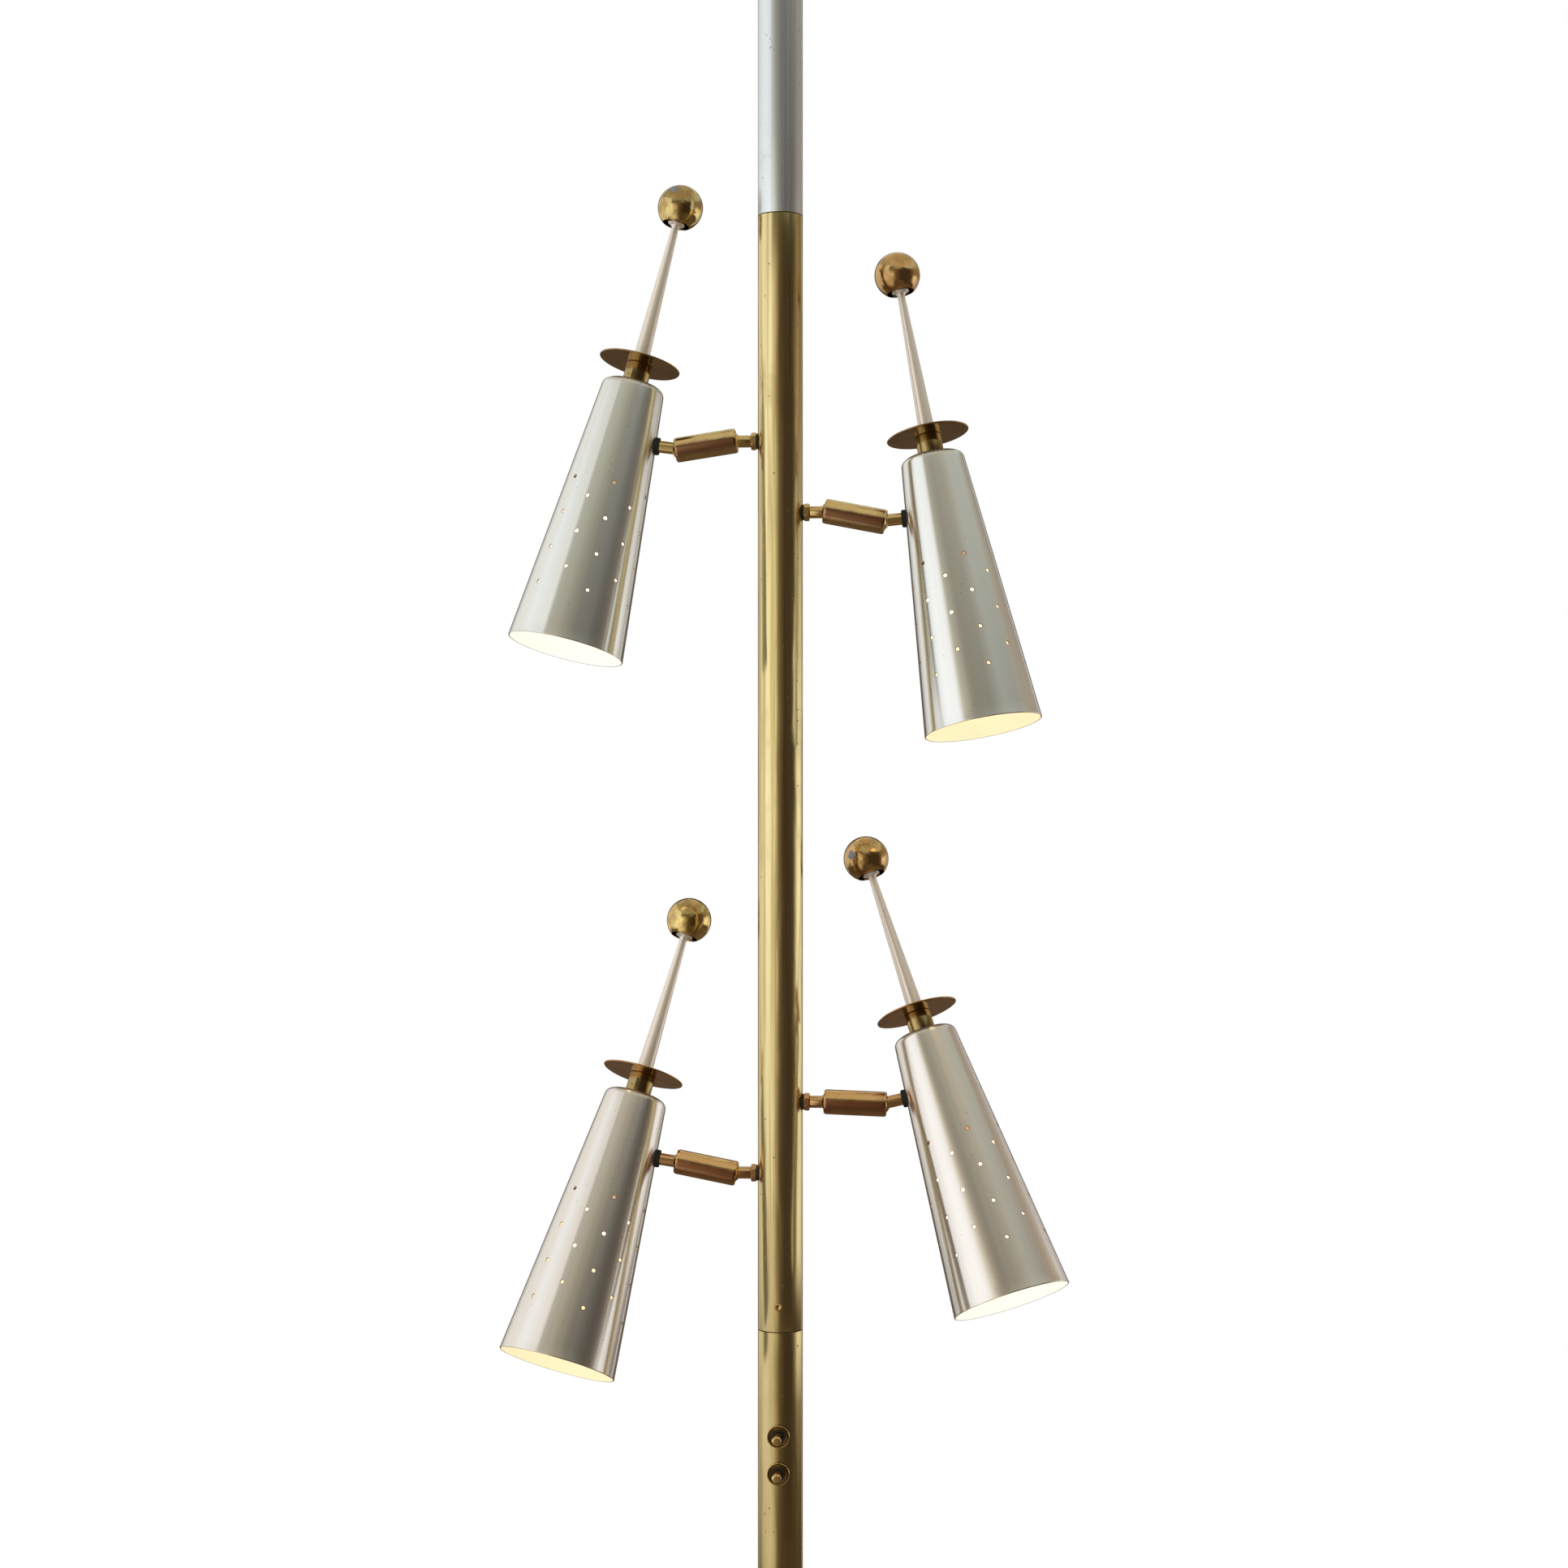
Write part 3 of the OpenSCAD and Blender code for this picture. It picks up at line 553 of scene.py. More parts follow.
def joined(name, objects):
    """The objects as one, in the first one's frame."""
    base = objects[0]
    bm = bmesh.new()
    materials = []
    for o in objects:
        for m in o.data.materials:
            if m not in materials:
                materials.append(m)
    for o in objects:
        mesh = o.data.copy()
        mesh.transform(base.matrix_world.inverted() @ o.matrix_world)
        before = len(bm.faces)
        bm.from_mesh(mesh)
        bm.faces.ensure_lookup_table()
        for f in bm.faces[before:]:
            f.material_index = materials.index(o.data.materials[f.material_index]) if materials else 0
        bpy.data.meshes.remove(mesh)
    place = base.matrix_world.copy()
    for o in objects:
        bpy.data.objects.remove(o)
    return link(name, meshed(name, bm), place, materials)


def cut(o, cutters):
    """o minus the cutters, which are used up."""
    tool = joined("cutter", cutters) if len(cutters) > 1 else cutters[0]
    mod = o.modifiers.new("cut", "BOOLEAN")
    mod.operation = "DIFFERENCE"
    mod.solver = "EXACT"
    mod.use_self = False
    mod.object = tool
    bpy.context.view_layer.update()
    done = bpy.data.meshes.new_from_object(o.evaluated_get(bpy.context.evaluated_depsgraph_get()))
    o.modifiers.clear()
    old = o.data
    o.data = done
    bpy.data.meshes.remove(old)
    bpy.data.objects.remove(tool)
    settle(done)
    return o


def rod(r, z0, z1, place, segments=24, r1=None):
    """A plain cutter between two heights, of radius r1 at the second if that is given."""
    return turned("rod", [(0, z0), (r, z0), (r if r1 is None else r1, z1), (0, z1)], place, [], segments)


def hexed(af):
    """Turns a lathe's circles into a hexagon across these flats, a corner at angle 0, wherever the circle is larger."""
    def shape(r, z, a):
        sector = a % (math.pi / 3) - math.pi / 6
        return min(r, af / 2 / math.cos(sector)), z
    return shape


def nut(name, place, bore, material=None):
    """A hexagon nut from the place upwards, its corners turned round."""
    corner = NUT_AF / 2 / math.cos(math.radians(30))
    profile = [(bore, 0.5), (bore + 0.5, 0), (corner - 0.9, 0), (corner - 0.55, 0.12), (corner - 0.2, 0.4),
               (corner + 0.05, 0.85), (corner + 0.05, NUT_T - 0.85), (corner - 0.2, NUT_T - 0.4),
               (corner - 0.55, NUT_T - 0.12), (corner - 0.9, NUT_T), (bore + 0.5, NUT_T), (bore, NUT_T - 0.5)]
    return turned(name, profile, place, material or BRASS, 120, closed=True, shape=hexed(NUT_AF), angle=24)


def threads(r, z0, z1, pitch=1.0, depth=0.45):
    """Points of a screw's flank, as close rings, going up."""
    points = []
    z = z0
    while z + pitch <= z1:
        points += [(r, z), (r, z + pitch * 0.25), (r - depth, z + pitch * 0.6), (r, z + pitch * 0.95)]
        z += pitch
    return points + [(r, z1)]


def done(o, body, slot, *replaced):
    """A finished piece: it rides on the body and stands for the nodes, which it hides. slot is not used."""
    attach(o, body)
    if replaced:
        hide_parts(*replaced)
    return o


def paint(node, material):
    """The node's own shape stays; only its material changes."""
    mesh = nodes[node].data
    mesh.materials.clear()
    mesh.materials.append(material)
    mesh.polygons.foreach_set("material_index", [0] * len(mesh.polygons))


# ---- pole
ID = Matrix.Identity(4)


def tube(name, z0, z1, material):
    """A length of the pole, its two cut ends browned."""
    steps = max(2, int((z1 - z0) / 60))
    outer = [(POLE_R, z0 + 0.5 + (z1 - z0 - 1) * k / steps) for k in range(steps + 1)]
    profile = ([(BORE_R, z0), (POLE_R - 0.5, z0), (POLE_R - 0.18, z0 + 0.1), (POLE_R - 0.04, z0 + 0.28)] + outer
               + [(POLE_R - 0.04, z1 - 0.28), (POLE_R - 0.18, z1 - 0.1), (POLE_R - 0.5, z1), (BORE_R, z1)])
    last = len(profile) - 2
    return turned(name, profile, ID, [material, DARK_BRASS], 128, closed=True,
                  zones=lambda n: 1 if n < 4 or last - 4 < n <= last else 0)


lower = tube("pole_lower", FOOT_H, LOWER_SEAM, BRASS_TUBE)
cut(lower, [rod(SWITCH_HOLE_R, 5, 30, front(z), 32) for z in SWITCH_Z]
    + [rod(INLET_HOLE_R, 5, 30, back(INLET_Z), 32)])
done(lower, "pole", "brass_tube", "lower_tube")
middle = tube("pole_middle", LOWER_SEAM, UPPER_SEAM, BRASS_TUBE)
cut(middle, [rod(LOCK_HOLE_R, 5, 30, front(LOCK_Z), 32)]
    + [rod(NECK_R, 5, 30, arm_frame(i) @ ALONG_X, 32) for i in range(4)])
done(middle, "pole", "brass_tube", "middle_tube")
done(tube("pole_upper", UPPER_SEAM, TUBE_TOP, ALU_TUBE), "pole", "aluminium_tube", "upper_tube")

foot = turned("foot", rounded(
    [(0, 0.8), (14, 0.8), (15, 0), (25.4, 0), (27, 1.6), (27, 4.6), (25.6, 5.6), (25.2, 6.6), (22.6, 10.2),
     (20.6, 13.2), (19.8, FOOT_H), (17.75, FOOT_H), (17.75, 42), (15.8, 44), (0, 44)], 0.7), ID, RUBBER, 96)
done(foot, "pole", "black_rubber", "floor_foot")

grommet = turned("grommet", rounded([(3.6, 13.05), (6.1, 13.05), (6.1, 18.6), (8.1, 17.0), (8.1, 20.3), (7.2, 21.05),
                                     (4.3, 21.05), (3.6, 20.4)], 0.4), back(INLET_Z), RUBBER, 64, closed=True)
done(grommet, "pole", "black_rubber", "cord_grommet")

nuts = []
for i in range(4):
    nuts.append(nut(f"n{i}", arm_frame(i) @ move(NUT_X, 0, 0) @ ALONG_X, STUD_R + 0.15, SMALL_BRASS[LAMPS[i]]))
    nuts.append(nut(f"m{i}", arm_frame(i) @ move(INNER_NUT_X, 0, 0) @ ALONG_X, STUD_R + 0.15))
done(joined("arm_nuts", nuts), "pole", "brass", "pole_nuts")

washers = []
for i in range(4):
    w = turned(f"w{i}", rounded([(STUD_HOLE_R, 15), (POLE_WASHER_R, 15), (POLE_WASHER_R, NUT_X - 0.05),
                                 (STUD_HOLE_R, NUT_X - 0.05)], 0.3),
               arm_frame(i) @ ALONG_X, FIBRE, 64, closed=True)
    washers.append(cut(w, [rod(POLE_R, ARM_Z[i] - 20, ARM_Z[i] + 20, ID, 128)]))
done(joined("arm_washers", washers), "pole", "black_fibre", "pole_washers")

# ---- switches, lock button
RING_FACE = POLE_R + 2.6
BUTTON_FACE_Y = RING_FACE + 17
LOCK_FACE_Y = POLE_R + 2.2
bushes, rings = [], []
for k, z in enumerate(SWITCH_Z):
    bushes.append(turned(f"b{k}", rounded(
        [(4.2, 2), (4.2, RING_FACE + 0.3)], 0.1) + [(4.5, RING_FACE + 0.4), (5.0, RING_FACE + 0.4)]
        + threads(5.4, 13.5, RING_FACE + 0.1, 0.9, 0.35)[::-1]
        + rounded([(11, 13.5), (11, -6), (0, -6), (0, 2)], 0.5), front(z), [PLASTIC], 64, closed=True))
    ring = turned(f"r{k}", rounded(
        [(SWITCH_HOLE_R, 16), (9.6, 16), (9.6, RING_FACE - 0.4), (9.35, RING_FACE), (8.9, RING_FACE),
         (8.55, RING_FACE - 0.35), (7.9, RING_FACE - 1.0), (SWITCH_HOLE_R, RING_FACE - 1.1)], 0.25),
        front(z), [DARK_BRASS, BRASS], 96, closed=True)
    # only the rim is polished
    for f in ring.data.polygons:
        radii = [math.hypot(ring.data.vertices[v].co.x, ring.data.vertices[v].co.y) / MM for v in f.vertices]
        high = min(ring.data.vertices[v].co.z for v in f.vertices) / MM
        if min(radii) > 8.3 and high > RING_FACE - 0.8:
            f.material_index = 1
    rings.append(cut(ring, [rod(POLE_R, z - 20, z + 20, ID, 128)]))
    button = turned(f"push_button_{k}", rounded(
        [(0, 6.5), (4, 6.5), (4, BUTTON_FACE_Y - 1.1), (2.9, BUTTON_FACE_Y), (0, BUTTON_FACE_Y)], 0.3, 4), front(z),
        [BRASS, BUTTON_FACE], 64, zones=lambda n: int(n >= 16))
    which = ["upper", "lower"][k]
    done(button, f"button_{which}", "brass", f"switch_button_{which}")
done(joined("switch_mechanisms", bushes), "pole", "black_plastic", "switch_bodies")
done(joined("switch_dishes", rings), "pole", "dark_brass", "switch_rings")

lock = turned("lock_pin", rounded(
    [(0, 13.4), (4.6, 13.4), (4.6, 15), (3.25, 15), (3.25, LOCK_FACE_Y - 0.6), (2.6, LOCK_FACE_Y),
     (1.8, LOCK_FACE_Y - 0.1), (1.5, LOCK_FACE_Y - 1.4), (0, LOCK_FACE_Y - 1.6)], 0.2), front(LOCK_Z), BRASS, 64)
done(lock, "lock", "brass", "lock_button")

# ---- plunger, its spring and pad
plunger = turned("plunger", rounded(
    [(3, 2150), (17.0, 2150), (PLUNGER_R, 2150.4), (PLUNGER_R, PAD_Z - 0.1), (15.9, PAD_Z - 0.1), (15.9, 2153),
     (3, 2153)], 0.3), ID, ALU_TUBE, 96, closed=True)
done(plunger, "plunger", "aluminium_tube", "plunger_tube")
pad = turned("ceiling_cushion", rounded(
    [(17.45, 2454), (19.4, 2454), (20.2, 2457.5), (20.2, 2459), (21.6, 2460.6), (25, 2465), (25, 2468.5),
     (23.5, 2470), (0, 2470), (0, PAD_Z), (17.45, PAD_Z)], 0.6), ID, RUBBER, 96, closed=True)
done(pad, "plunger", "black_rubber", "ceiling_pad")
paint("tube_ferrules", STEEL)


def coil(name, low, high, middle_r, wire_r, curls, steps=20, sides=10):
    """A compression spring between two heights, its first and last curls almost closed."""
    rise = 2.1 * wire_r
    pitch = (high - low - 2 * wire_r - 2 * rise) / (curls - 2)
    bm = bmesh.new()
    rings = []
    for k in range(curls * steps + 1):
        t = k / steps
        a = 2 * math.pi * t
        z = low + wire_r + rise * min(t, 1) + pitch * min(max(t - 1, 0), curls - 2) + rise * max(t - curls + 1, 0)
        out = Vector((math.cos(a), math.sin(a), 0))
        slope = (pitch if 1 <= t <= curls - 1 else rise) / (2 * math.pi)
        up = Vector((-math.sin(a) * middle_r, math.cos(a) * middle_r, slope)).normalized().cross(out) * -1
        centre = out * middle_r + Vector((0, 0, z))
        rings.append([bm.verts.new((centre + (out * math.cos(2 * math.pi * j / sides)
                                              + up * math.sin(2 * math.pi * j / sides)) * wire_r) * MM)
                      for j in range(sides)])
    for a, b in zip(rings, rings[1:]):
        for j in range(sides):
            bm.faces.new((a[j], a[(j + 1) % sides], b[(j + 1) % sides], b[j]))
    bm.faces.new(rings[0])
    bm.faces.new(rings[-1])
    bmesh.ops.recalc_face_normals(bm, faces=bm.faces)
    o = link(name, meshed(name, bm), ID, STEEL)
    settle(o.data, 40)
    return o


spring_low, spring_high = (corner[2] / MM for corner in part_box("plunger_spring"))
spring = done(coil("coil_spring", spring_low, spring_high, 13, 1.3, 24), "pole", "bright_steel", "plunger_spring")
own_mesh(spring)


# ---- arms and heads
def cone_wall(z, t=0.0):
    """The radius of the shade's outer wall, or of the skin t inside it, at this height."""
    return MOUTH_R - SLOPE * z - t / math.cos(math.radians(WALL_ANGLE))


def aim_normals(o, t):
    """Exact cone normals on the shade's inner and outer walls, so that reflections run straight past the holes."""
    mesh = o.data
    across, up = math.cos(math.radians(WALL_ANGLE)), math.sin(math.radians(WALL_ANGLE))
    normals = [tuple(c.vector) for c in mesh.corner_normals]
    for f in mesh.polygons:
        for loop in f.loop_indices:
            p = mesh.vertices[mesh.loops[loop].vertex_index].co / MM
            r = math.hypot(p.x, p.y)
            if r < 1 or p.z > WALL_TOP - 0.4 or p.z < WALL_LOW:
                continue
            u = Vector((p.x / r * across, p.y / r * across, up))
            for side, skin in ((1, 0.0), (-1, t)):
                if abs(r - cone_wall(p.z, skin)) < 0.12 and f.normal.dot(u * side) > 0.985:
                    normals[loop] = tuple(u * side)
    mesh.normals_split_custom_set(normals)


def make_shade(i, name):
    slope = math.radians(WALL_ANGLE)
    k = TOP_R - SHOULDER_R * (1 - math.sin(slope)) / math.cos(slope)
    rise = [WALL_LOW + (WALL_TOP - WALL_LOW) * j / 24 for j in range(25)]
    outer = [(cone_wall(z), z) for z in rise] + arc(k, SHADE_H - SHOULDER_R, SHOULDER_R, WALL_ANGLE, 90, 10)[1:]
    outer += [(12, SHADE_H), (STUD_HOLE_R, SHADE_H)]
    inner = [(STUD_HOLE_R, SHADE_H - SHADE_T), (12, SHADE_H - SHADE_T)]
    inner += arc(k, SHADE_H - SHOULDER_R, SHOULDER_R - SHADE_T, 90, WALL_ANGLE, 8)
    inner += [(cone_wall(z, SHADE_T), z) for z in reversed(rise[:-1])]
    # the mouth's edge is rolled into a fine bead
    bead = [(cone_wall(1.6, SHADE_T) - 0.25, 1.2), (cone_wall(0.8, SHADE_T) - 0.4, 0.7),
            (cone_wall(0.2, SHADE_T) - 0.1, 0.15), (MOUTH_R - 0.5, 0), (MOUTH_R - 0.08, 0.3), (MOUTH_R, 0.8),
            (cone_wall(1.2) + 0.02, 1.25)]
    profile = outer + inner + bead
    inner_from = len(outer)
    inside = CREAM_ENAMEL if i % 2 else WHITE_ENAMEL
    o = turned(name, profile, head_frame(i), [SHADE_ALU[LAMPS[i][:5]], inside], 180, closed=True,
               zones=lambda n: 1 if inner_from <= n < inner_from + len(inner) + 2 else 0)
    cutters = [rod(STUD_HOLE_R, -5, 5, head_frame(i) @ AT_MOUNT, 32)]
    cutters += [pierce(i, first + 60 * c, low + HOLE_PITCH * j)
                for first, low, rows in HOLE_ROWS for c in range(6) for j in range(rows)]
    cut(o, cutters)
    aim_normals(o, SHADE_T)
    return o


def pierce(i, angle, z):
    place = head_frame(i) @ turn("Z", angle) @ move(MOUTH_R - SLOPE * z, 0, z) @ turn("Y", 90 - WALL_ANGLE)
    return rod(HOLE_R, -3, 3, place, 20)


def on_ball(i, right, up):
    """The point of the finial ball that the camera sees so far right and up of its middle, in radii."""
    toward = -math.sqrt(1 - right ** 2 - up ** 2)
    seen = turn("Z", math.degrees(VIEW_AZIMUTH)) @ Vector((right, toward, up))
    local = head_frame(i).to_3x3().transposed() @ seen
    return tuple(Vector((0, 0, FINIAL_Z)) + local * FINIAL_R)


BALL_TONES = {"upper_left": ((0.90, 0.72, 0.34), (0.66, 0.48, 0.17)),
              "upper_right": ((0.90, 0.63, 0.30), (0.60, 0.34, 0.12)),
              "lower_right": ((0.90, 0.63, 0.29), (0.58, 0.34, 0.12)),
              "lower_left": ((0.99, 0.80, 0.36), (0.86, 0.60, 0.19))}
# worn spots: their middle and radius, in mm
BALL_SPOTS = {"upper_left": (on_ball(0, -0.27, 0.7), 4.3), "lower_right": (on_ball(2, -0.68, 0.17), 4.0)}


def make_arm(i, lamp):
    """A neck with its ball, the swivel barrel, and the shade's neck with the other ball."""
    # first ball on its neck and stud
    neck = turned(f"ball_neck_{lamp}", rounded(
        [(LEAD_HOLE_R, 11), (4.3, 11)] + threads(STUD_R, 11.6, 20.6)
        + [(STUD_R, 24.95), (4.9, 25.0), (NECK_R, 25.15), (NECK_R, 35.1)], 0.05, 1)
        + arc(0, BALL_X, BALL_R, -54.6, BALL_CUT, 20) + [(LEAD_HOLE_R, BALL_X + 8.2)],
        arm_frame(i) @ ALONG_X, SMALL_BRASS[lamp], 80, closed=True)
    done(neck, f"neck_{lamp}", "brass", f"pole_neck_{lamp}")
    # swivel barrel: its rounded shell, mirrored, and the two seats with the bore between them
    shell = [(8.16, -BARREL_INSET), (8.95, 0.3 - BARREL_REACH), (9.05, -BARREL_REACH)]
    for j in range(1, 10):
        a = math.radians(10 * j)
        shell.append((BARREL_R - BARREL_EDGE * (1 - math.sin(a)), -BARREL_REACH + 2.6 * (1 - math.cos(a))))
    far = [(r, BALL_GAP - z) for r, z in reversed(shell)]
    profile = (shell + far + arc(0, BALL_GAP, SEAT_R, 25, -63.6, 12)[1:] + [(4, BALL_GAP - 8.06), (4, 8.06)]
               + arc(0, 0, SEAT_R, 63.6, -25, 12)[1:])
    barrel = turned(f"swivel_{lamp}", profile, barrel_frame(i) @ ALONG_X, AMBER if i < 2 else COPPER_AMBER, 96,
                    closed=True)
    done(barrel, f"swivel_{lamp}", "amber_brass", f"barrel_{lamp}")
    # second ball, neck, stud and its locknut
    at_washer = NECK_REACH - SHADE_WASHER_T
    stud = turned(f"s{lamp}", [(LEAD_HOLE_R, -8.2)] + arc(0, 0, BALL_R, -BALL_CUT, 54.6, 20)
                  + [(NECK_R, at_washer - 0.2), (STUD_R, at_washer)] + threads(STUD_R, 22.0, 31.2)
                  + [(4.3, 31.5), (LEAD_HOLE_R, 31.5)], neck_frame(i) @ ALONG_X, SMALL_BRASS[lamp], 80, closed=True)
    lock_nut = nut(f"t{lamp}", neck_frame(i) @ move(NECK_REACH + 2.1, 0, 0) @ ALONG_X, 4.85)
    done(joined(f"shade_stud_{lamp}", [stud, lock_nut]), f"shade_neck_{lamp}", "brass", f"shade_neck_{lamp}")


def make_head(i, lamp):
    """The washer, shade, collar, disc, spindle, finial ball, socket and bulb, from the neck on."""
    head = head_frame(i)
    body = f"head_{lamp}"
    cushion = turned(f"shade_washer_{lamp}", rounded(
        [(STUD_HOLE_R, -2), (SHADE_WASHER_R, -2), (SHADE_WASHER_R, SHADE_WASHER_T - 0.8), (7.0, SHADE_WASHER_T),
         (STUD_HOLE_R, SHADE_WASHER_T)], 0.5), head @ AT_MOUNT, RUBBER, 64, closed=True)
    cut(cushion, [rod(MOUTH_R, 0, SHADE_H, head, 128, r1=TOP_R)])
    done(cushion, body, "black_rubber", f"washer_{lamp}")
    done(make_shade(i, f"cone_shade_{lamp}"), body, "spun_aluminium", f"shade_{lamp}")

    collar = turned(f"neck_collar_{lamp}", rounded(
        [(COLLAR_BORE_R, SHADE_H), (COLLAR_R, SHADE_H), (COLLAR_R, DISC_Z - 0.6), (10.6, DISC_Z),
         (STUD_HOLE_R, DISC_Z), (STUD_HOLE_R, DISC_Z - 2), (COLLAR_BORE_R, DISC_Z - 2)], 0.25),
        head, COLLAR_BRASS_SHADED, 96, closed=True)
    cut(collar, [rod(0.6, 5, 13, head @ turn("Z", -120) @ move(0, 0, SHADE_H + 6.5) @ ALONG_X, 20)])
    done(collar, body, "amber_brass", f"collar_{lamp}")

    def warp(r, z, a):
        """An old disc isn't quite flat."""
        lift = 0.22 * (r / DISC_R) ** 2
        return r, z + lift * math.cos(2 * a + i * 1.9) + lift * 0.5 * math.cos(3 * a + i)

    disc = turned(f"disc_plate_{lamp}", rounded(
        [(r, DISC_Z + 0.02) for r in (STUD_HOLE_R, 14, 26, DISC_R - 0.3)]
        + [(DISC_R, DISC_Z + 0.4), (DISC_R, SPINDLE_Z - 0.4)]
        + [(r, SPINDLE_Z - 0.02) for r in (DISC_R - 0.3, 26, 14, STUD_HOLE_R)], 0.25),
        head, DISC_BRASS[lamp[:5]], 128, closed=True, shape=warp)
    done(disc, body, "dark_brass", f"disc_{lamp}")

    flare = FINIAL_Z - HOLE_DROP + 0.2
    taper = [(SPINDLE_R - (SPINDLE_R - SPINDLE_TIP_R) * t / 12, SPINDLE_Z + 3 + (flare - 4 - SPINDLE_Z - 3) * t / 12)
             for t in range(13)]
    spindle = turned(f"spike_{lamp}", rounded(
        [(4.85, SPINDLE_Z), (6.5, SPINDLE_Z), (6.9, SPINDLE_Z + 0.5), (6.85, SPINDLE_Z + 2.6)] + taper
        + [(3.5, flare - 2.6), (4.4, flare - 1.2), (7.3, flare), (7.3, flare + 1.2), (5.2, flare + 1.3),
           (4.8, flare + 0.8), (2.6, flare + 0.9), (2.2, flare + 1.8), (2.2, SPINDLE_TOP), (0, SPINDLE_TOP)], 0.3)
        + [(0, SPINDLE_Z + 10.5), (4.85, SPINDLE_Z + 10.5)], head, SPINDLE_ALU, 80, closed=True)
    done(spindle, body, "pale_aluminium", f"spindle_{lamp}")

    low = math.degrees(math.acos(FINIAL_HOLE_R / FINIAL_R))
    lip_in = math.degrees(math.acos((FINIAL_HOLE_R - 0.35) / (FINIAL_R - 1)))
    ball = turned(f"ball_finial_{lamp}", arc(0, FINIAL_Z, FINIAL_R, -low, 90, 44)[:-1] + [(0, FINIAL_Z + FINIAL_R)]
                  + [(0, FINIAL_Z + 11.6), (2.3, FINIAL_Z + 11.6), (4.5, FINIAL_Z + 11.6), (4.5, FINIAL_Z + 17.9)]
                  + arc(0, FINIAL_Z, FINIAL_R - 1, 74, -lip_in, 30)
                  + [(FINIAL_HOLE_R - 0.2, FINIAL_Z - HOLE_DROP + 0.05)], head,
                  ball_brass(lamp, *BALL_TONES[lamp], BALL_SPOTS.get(lamp)), 128, closed=True)
    done(ball, body, "brass", f"finial_{lamp}")

    ribs = []
    for j in range(9):
        ribs += [(16.9, 176 + j * 4), (16.4, 177 + j * 4), (16.9, 178 + j * 4)]
    socket = turned(f"lamp_socket_{lamp}", rounded(
        [(14.5, 172), (16, 172), (17, 173)], 0.3) + ribs + rounded(
        [(17, 213), (17, 221), (15.5, 229), (9, 235), (4.8, 235)], 0.8) + threads(4.8, 235.6, SPINDLE_Z + 9.2)
        + [(4.3, SPINDLE_Z + 9.9), (3, SPINDLE_Z + 9.9), (3, 204), (13.05, 204), (13.05, 178.6), (14.5, 178.4)],
        head, STEEL, 72, closed=True)
    done(socket, body, "bright_steel", f"socket_{lamp}")

    base = turned(f"bb{lamp}", [(0, 203), (5, 203), (9.5, 201)] + [
        (r, 378.6 - z) for r, z in threads(12.9, 178.6, 199.6, 2.6, 0.8)] + [(13.9, 178)], head, STEEL, 72)
    globe = arc(0, BULB_Z, BULB_R, -90, 25, 26)
    globe[0] = (0, BULB_Z - BULB_R)
    glass = turned(f"bg{lamp}", globe + rounded([(27.19, 135.68), (20.6, 149.5), (14, 163.9), (14, 178)], 5, 5)
                   + [(12, 178.2)], head, BULB_GLASS, 72)
    done(joined(f"bulb_lit_{lamp}", [glass, base]), body, "opal_glass", f"bulb_{lamp}")


for i, lamp in enumerate(LAMPS):
    make_arm(i, lamp)
    make_head(i, lamp)


# ---- camera
camera = bpy.data.cameras.new("camera")
camera.lens = 62.6
camera.sensor_width = 36
camera.shift_x = 0.00233
camera.shift_y = 0.01056
camera.clip_end = 100
eye = bpy.data.objects.new("camera", camera)
scene.collection.objects.link(eye)
eye.location = (VIEW_DISTANCE * math.sin(VIEW_AZIMUTH), -VIEW_DISTANCE * math.cos(VIEW_AZIMUTH), EYE)
eye.rotation_euler = (math.radians(90), 0, VIEW_AZIMUTH)
scene.camera = eye


# ---- studio
def seen_or_mirrored(tree):
    """1 for rays from the camera and for those mirrored by or passed through the object."""
    path = tree.nodes.new("ShaderNodeLightPath").outputs
    seen = path["Is Camera Ray"]
    for ray in ("Is Glossy Ray", "Is Transmission Ray"):
        either = tree.nodes.new("ShaderNodeMath")
        either.operation = "MAXIMUM"
        tree.links.new(seen, either.inputs[0])
        tree.links.new(path[ray], either.inputs[1])
        seen = either.outputs[0]
    return seen


world = bpy.data.worlds.new("studio")
scene.world = world
world.use_nodes = True
sky = world.node_tree
sky.nodes.clear()
either = sky.nodes.new("ShaderNodeMixShader")
out = sky.nodes.new("ShaderNodeOutputWorld")
sky.links.new(seen_or_mirrored(sky), either.inputs[0])
# the soft light, and the white that shows behind the object
for slot, colour, strength in ((1, (1.0, 0.985, 0.96, 1), 0.8), (2, (1, 1, 1, 1), 1.0)):
    light = sky.nodes.new("ShaderNodeBackground")
    light.inputs["Color"].default_value = colour
    light.inputs["Strength"].default_value = strength
    sky.links.new(light.outputs[0], either.inputs[slot])
sky.links.new(either.outputs[0], out.inputs["Surface"])


def make_floor():
    """A pale round floor that keeps the shadow near the foot and runs out into the white background."""
    bm = bmesh.new()
    bmesh.ops.create_circle(bm, cap_ends=True, segments=96, radius=2.6)
    s = Shader("pale_floor")
    x, y, _ = s.xyz()
    fade = s.times(s.smooth(s.length(x, y), 0.9, 2.5), seen_or_mirrored(s.tree))
    s.finish(base_color=s.mix(s.noise(s.coords, 30.0, 3.0), (0.86, 0.86, 0.85), (0.89, 0.89, 0.88)), roughness=0.7)
    white = s.node("ShaderNodeEmission", {"Color": (1, 1, 1, 1), "Strength": 1.0}).outputs[0]
    both = s.node("ShaderNodeMixShader", {0: fade, 1: s.bsdf.outputs[0], 2: white}).outputs[0]
    return link("floor", meshed("floor", bm), move(0, 0, -0.3), s.surface(both))


make_floor()


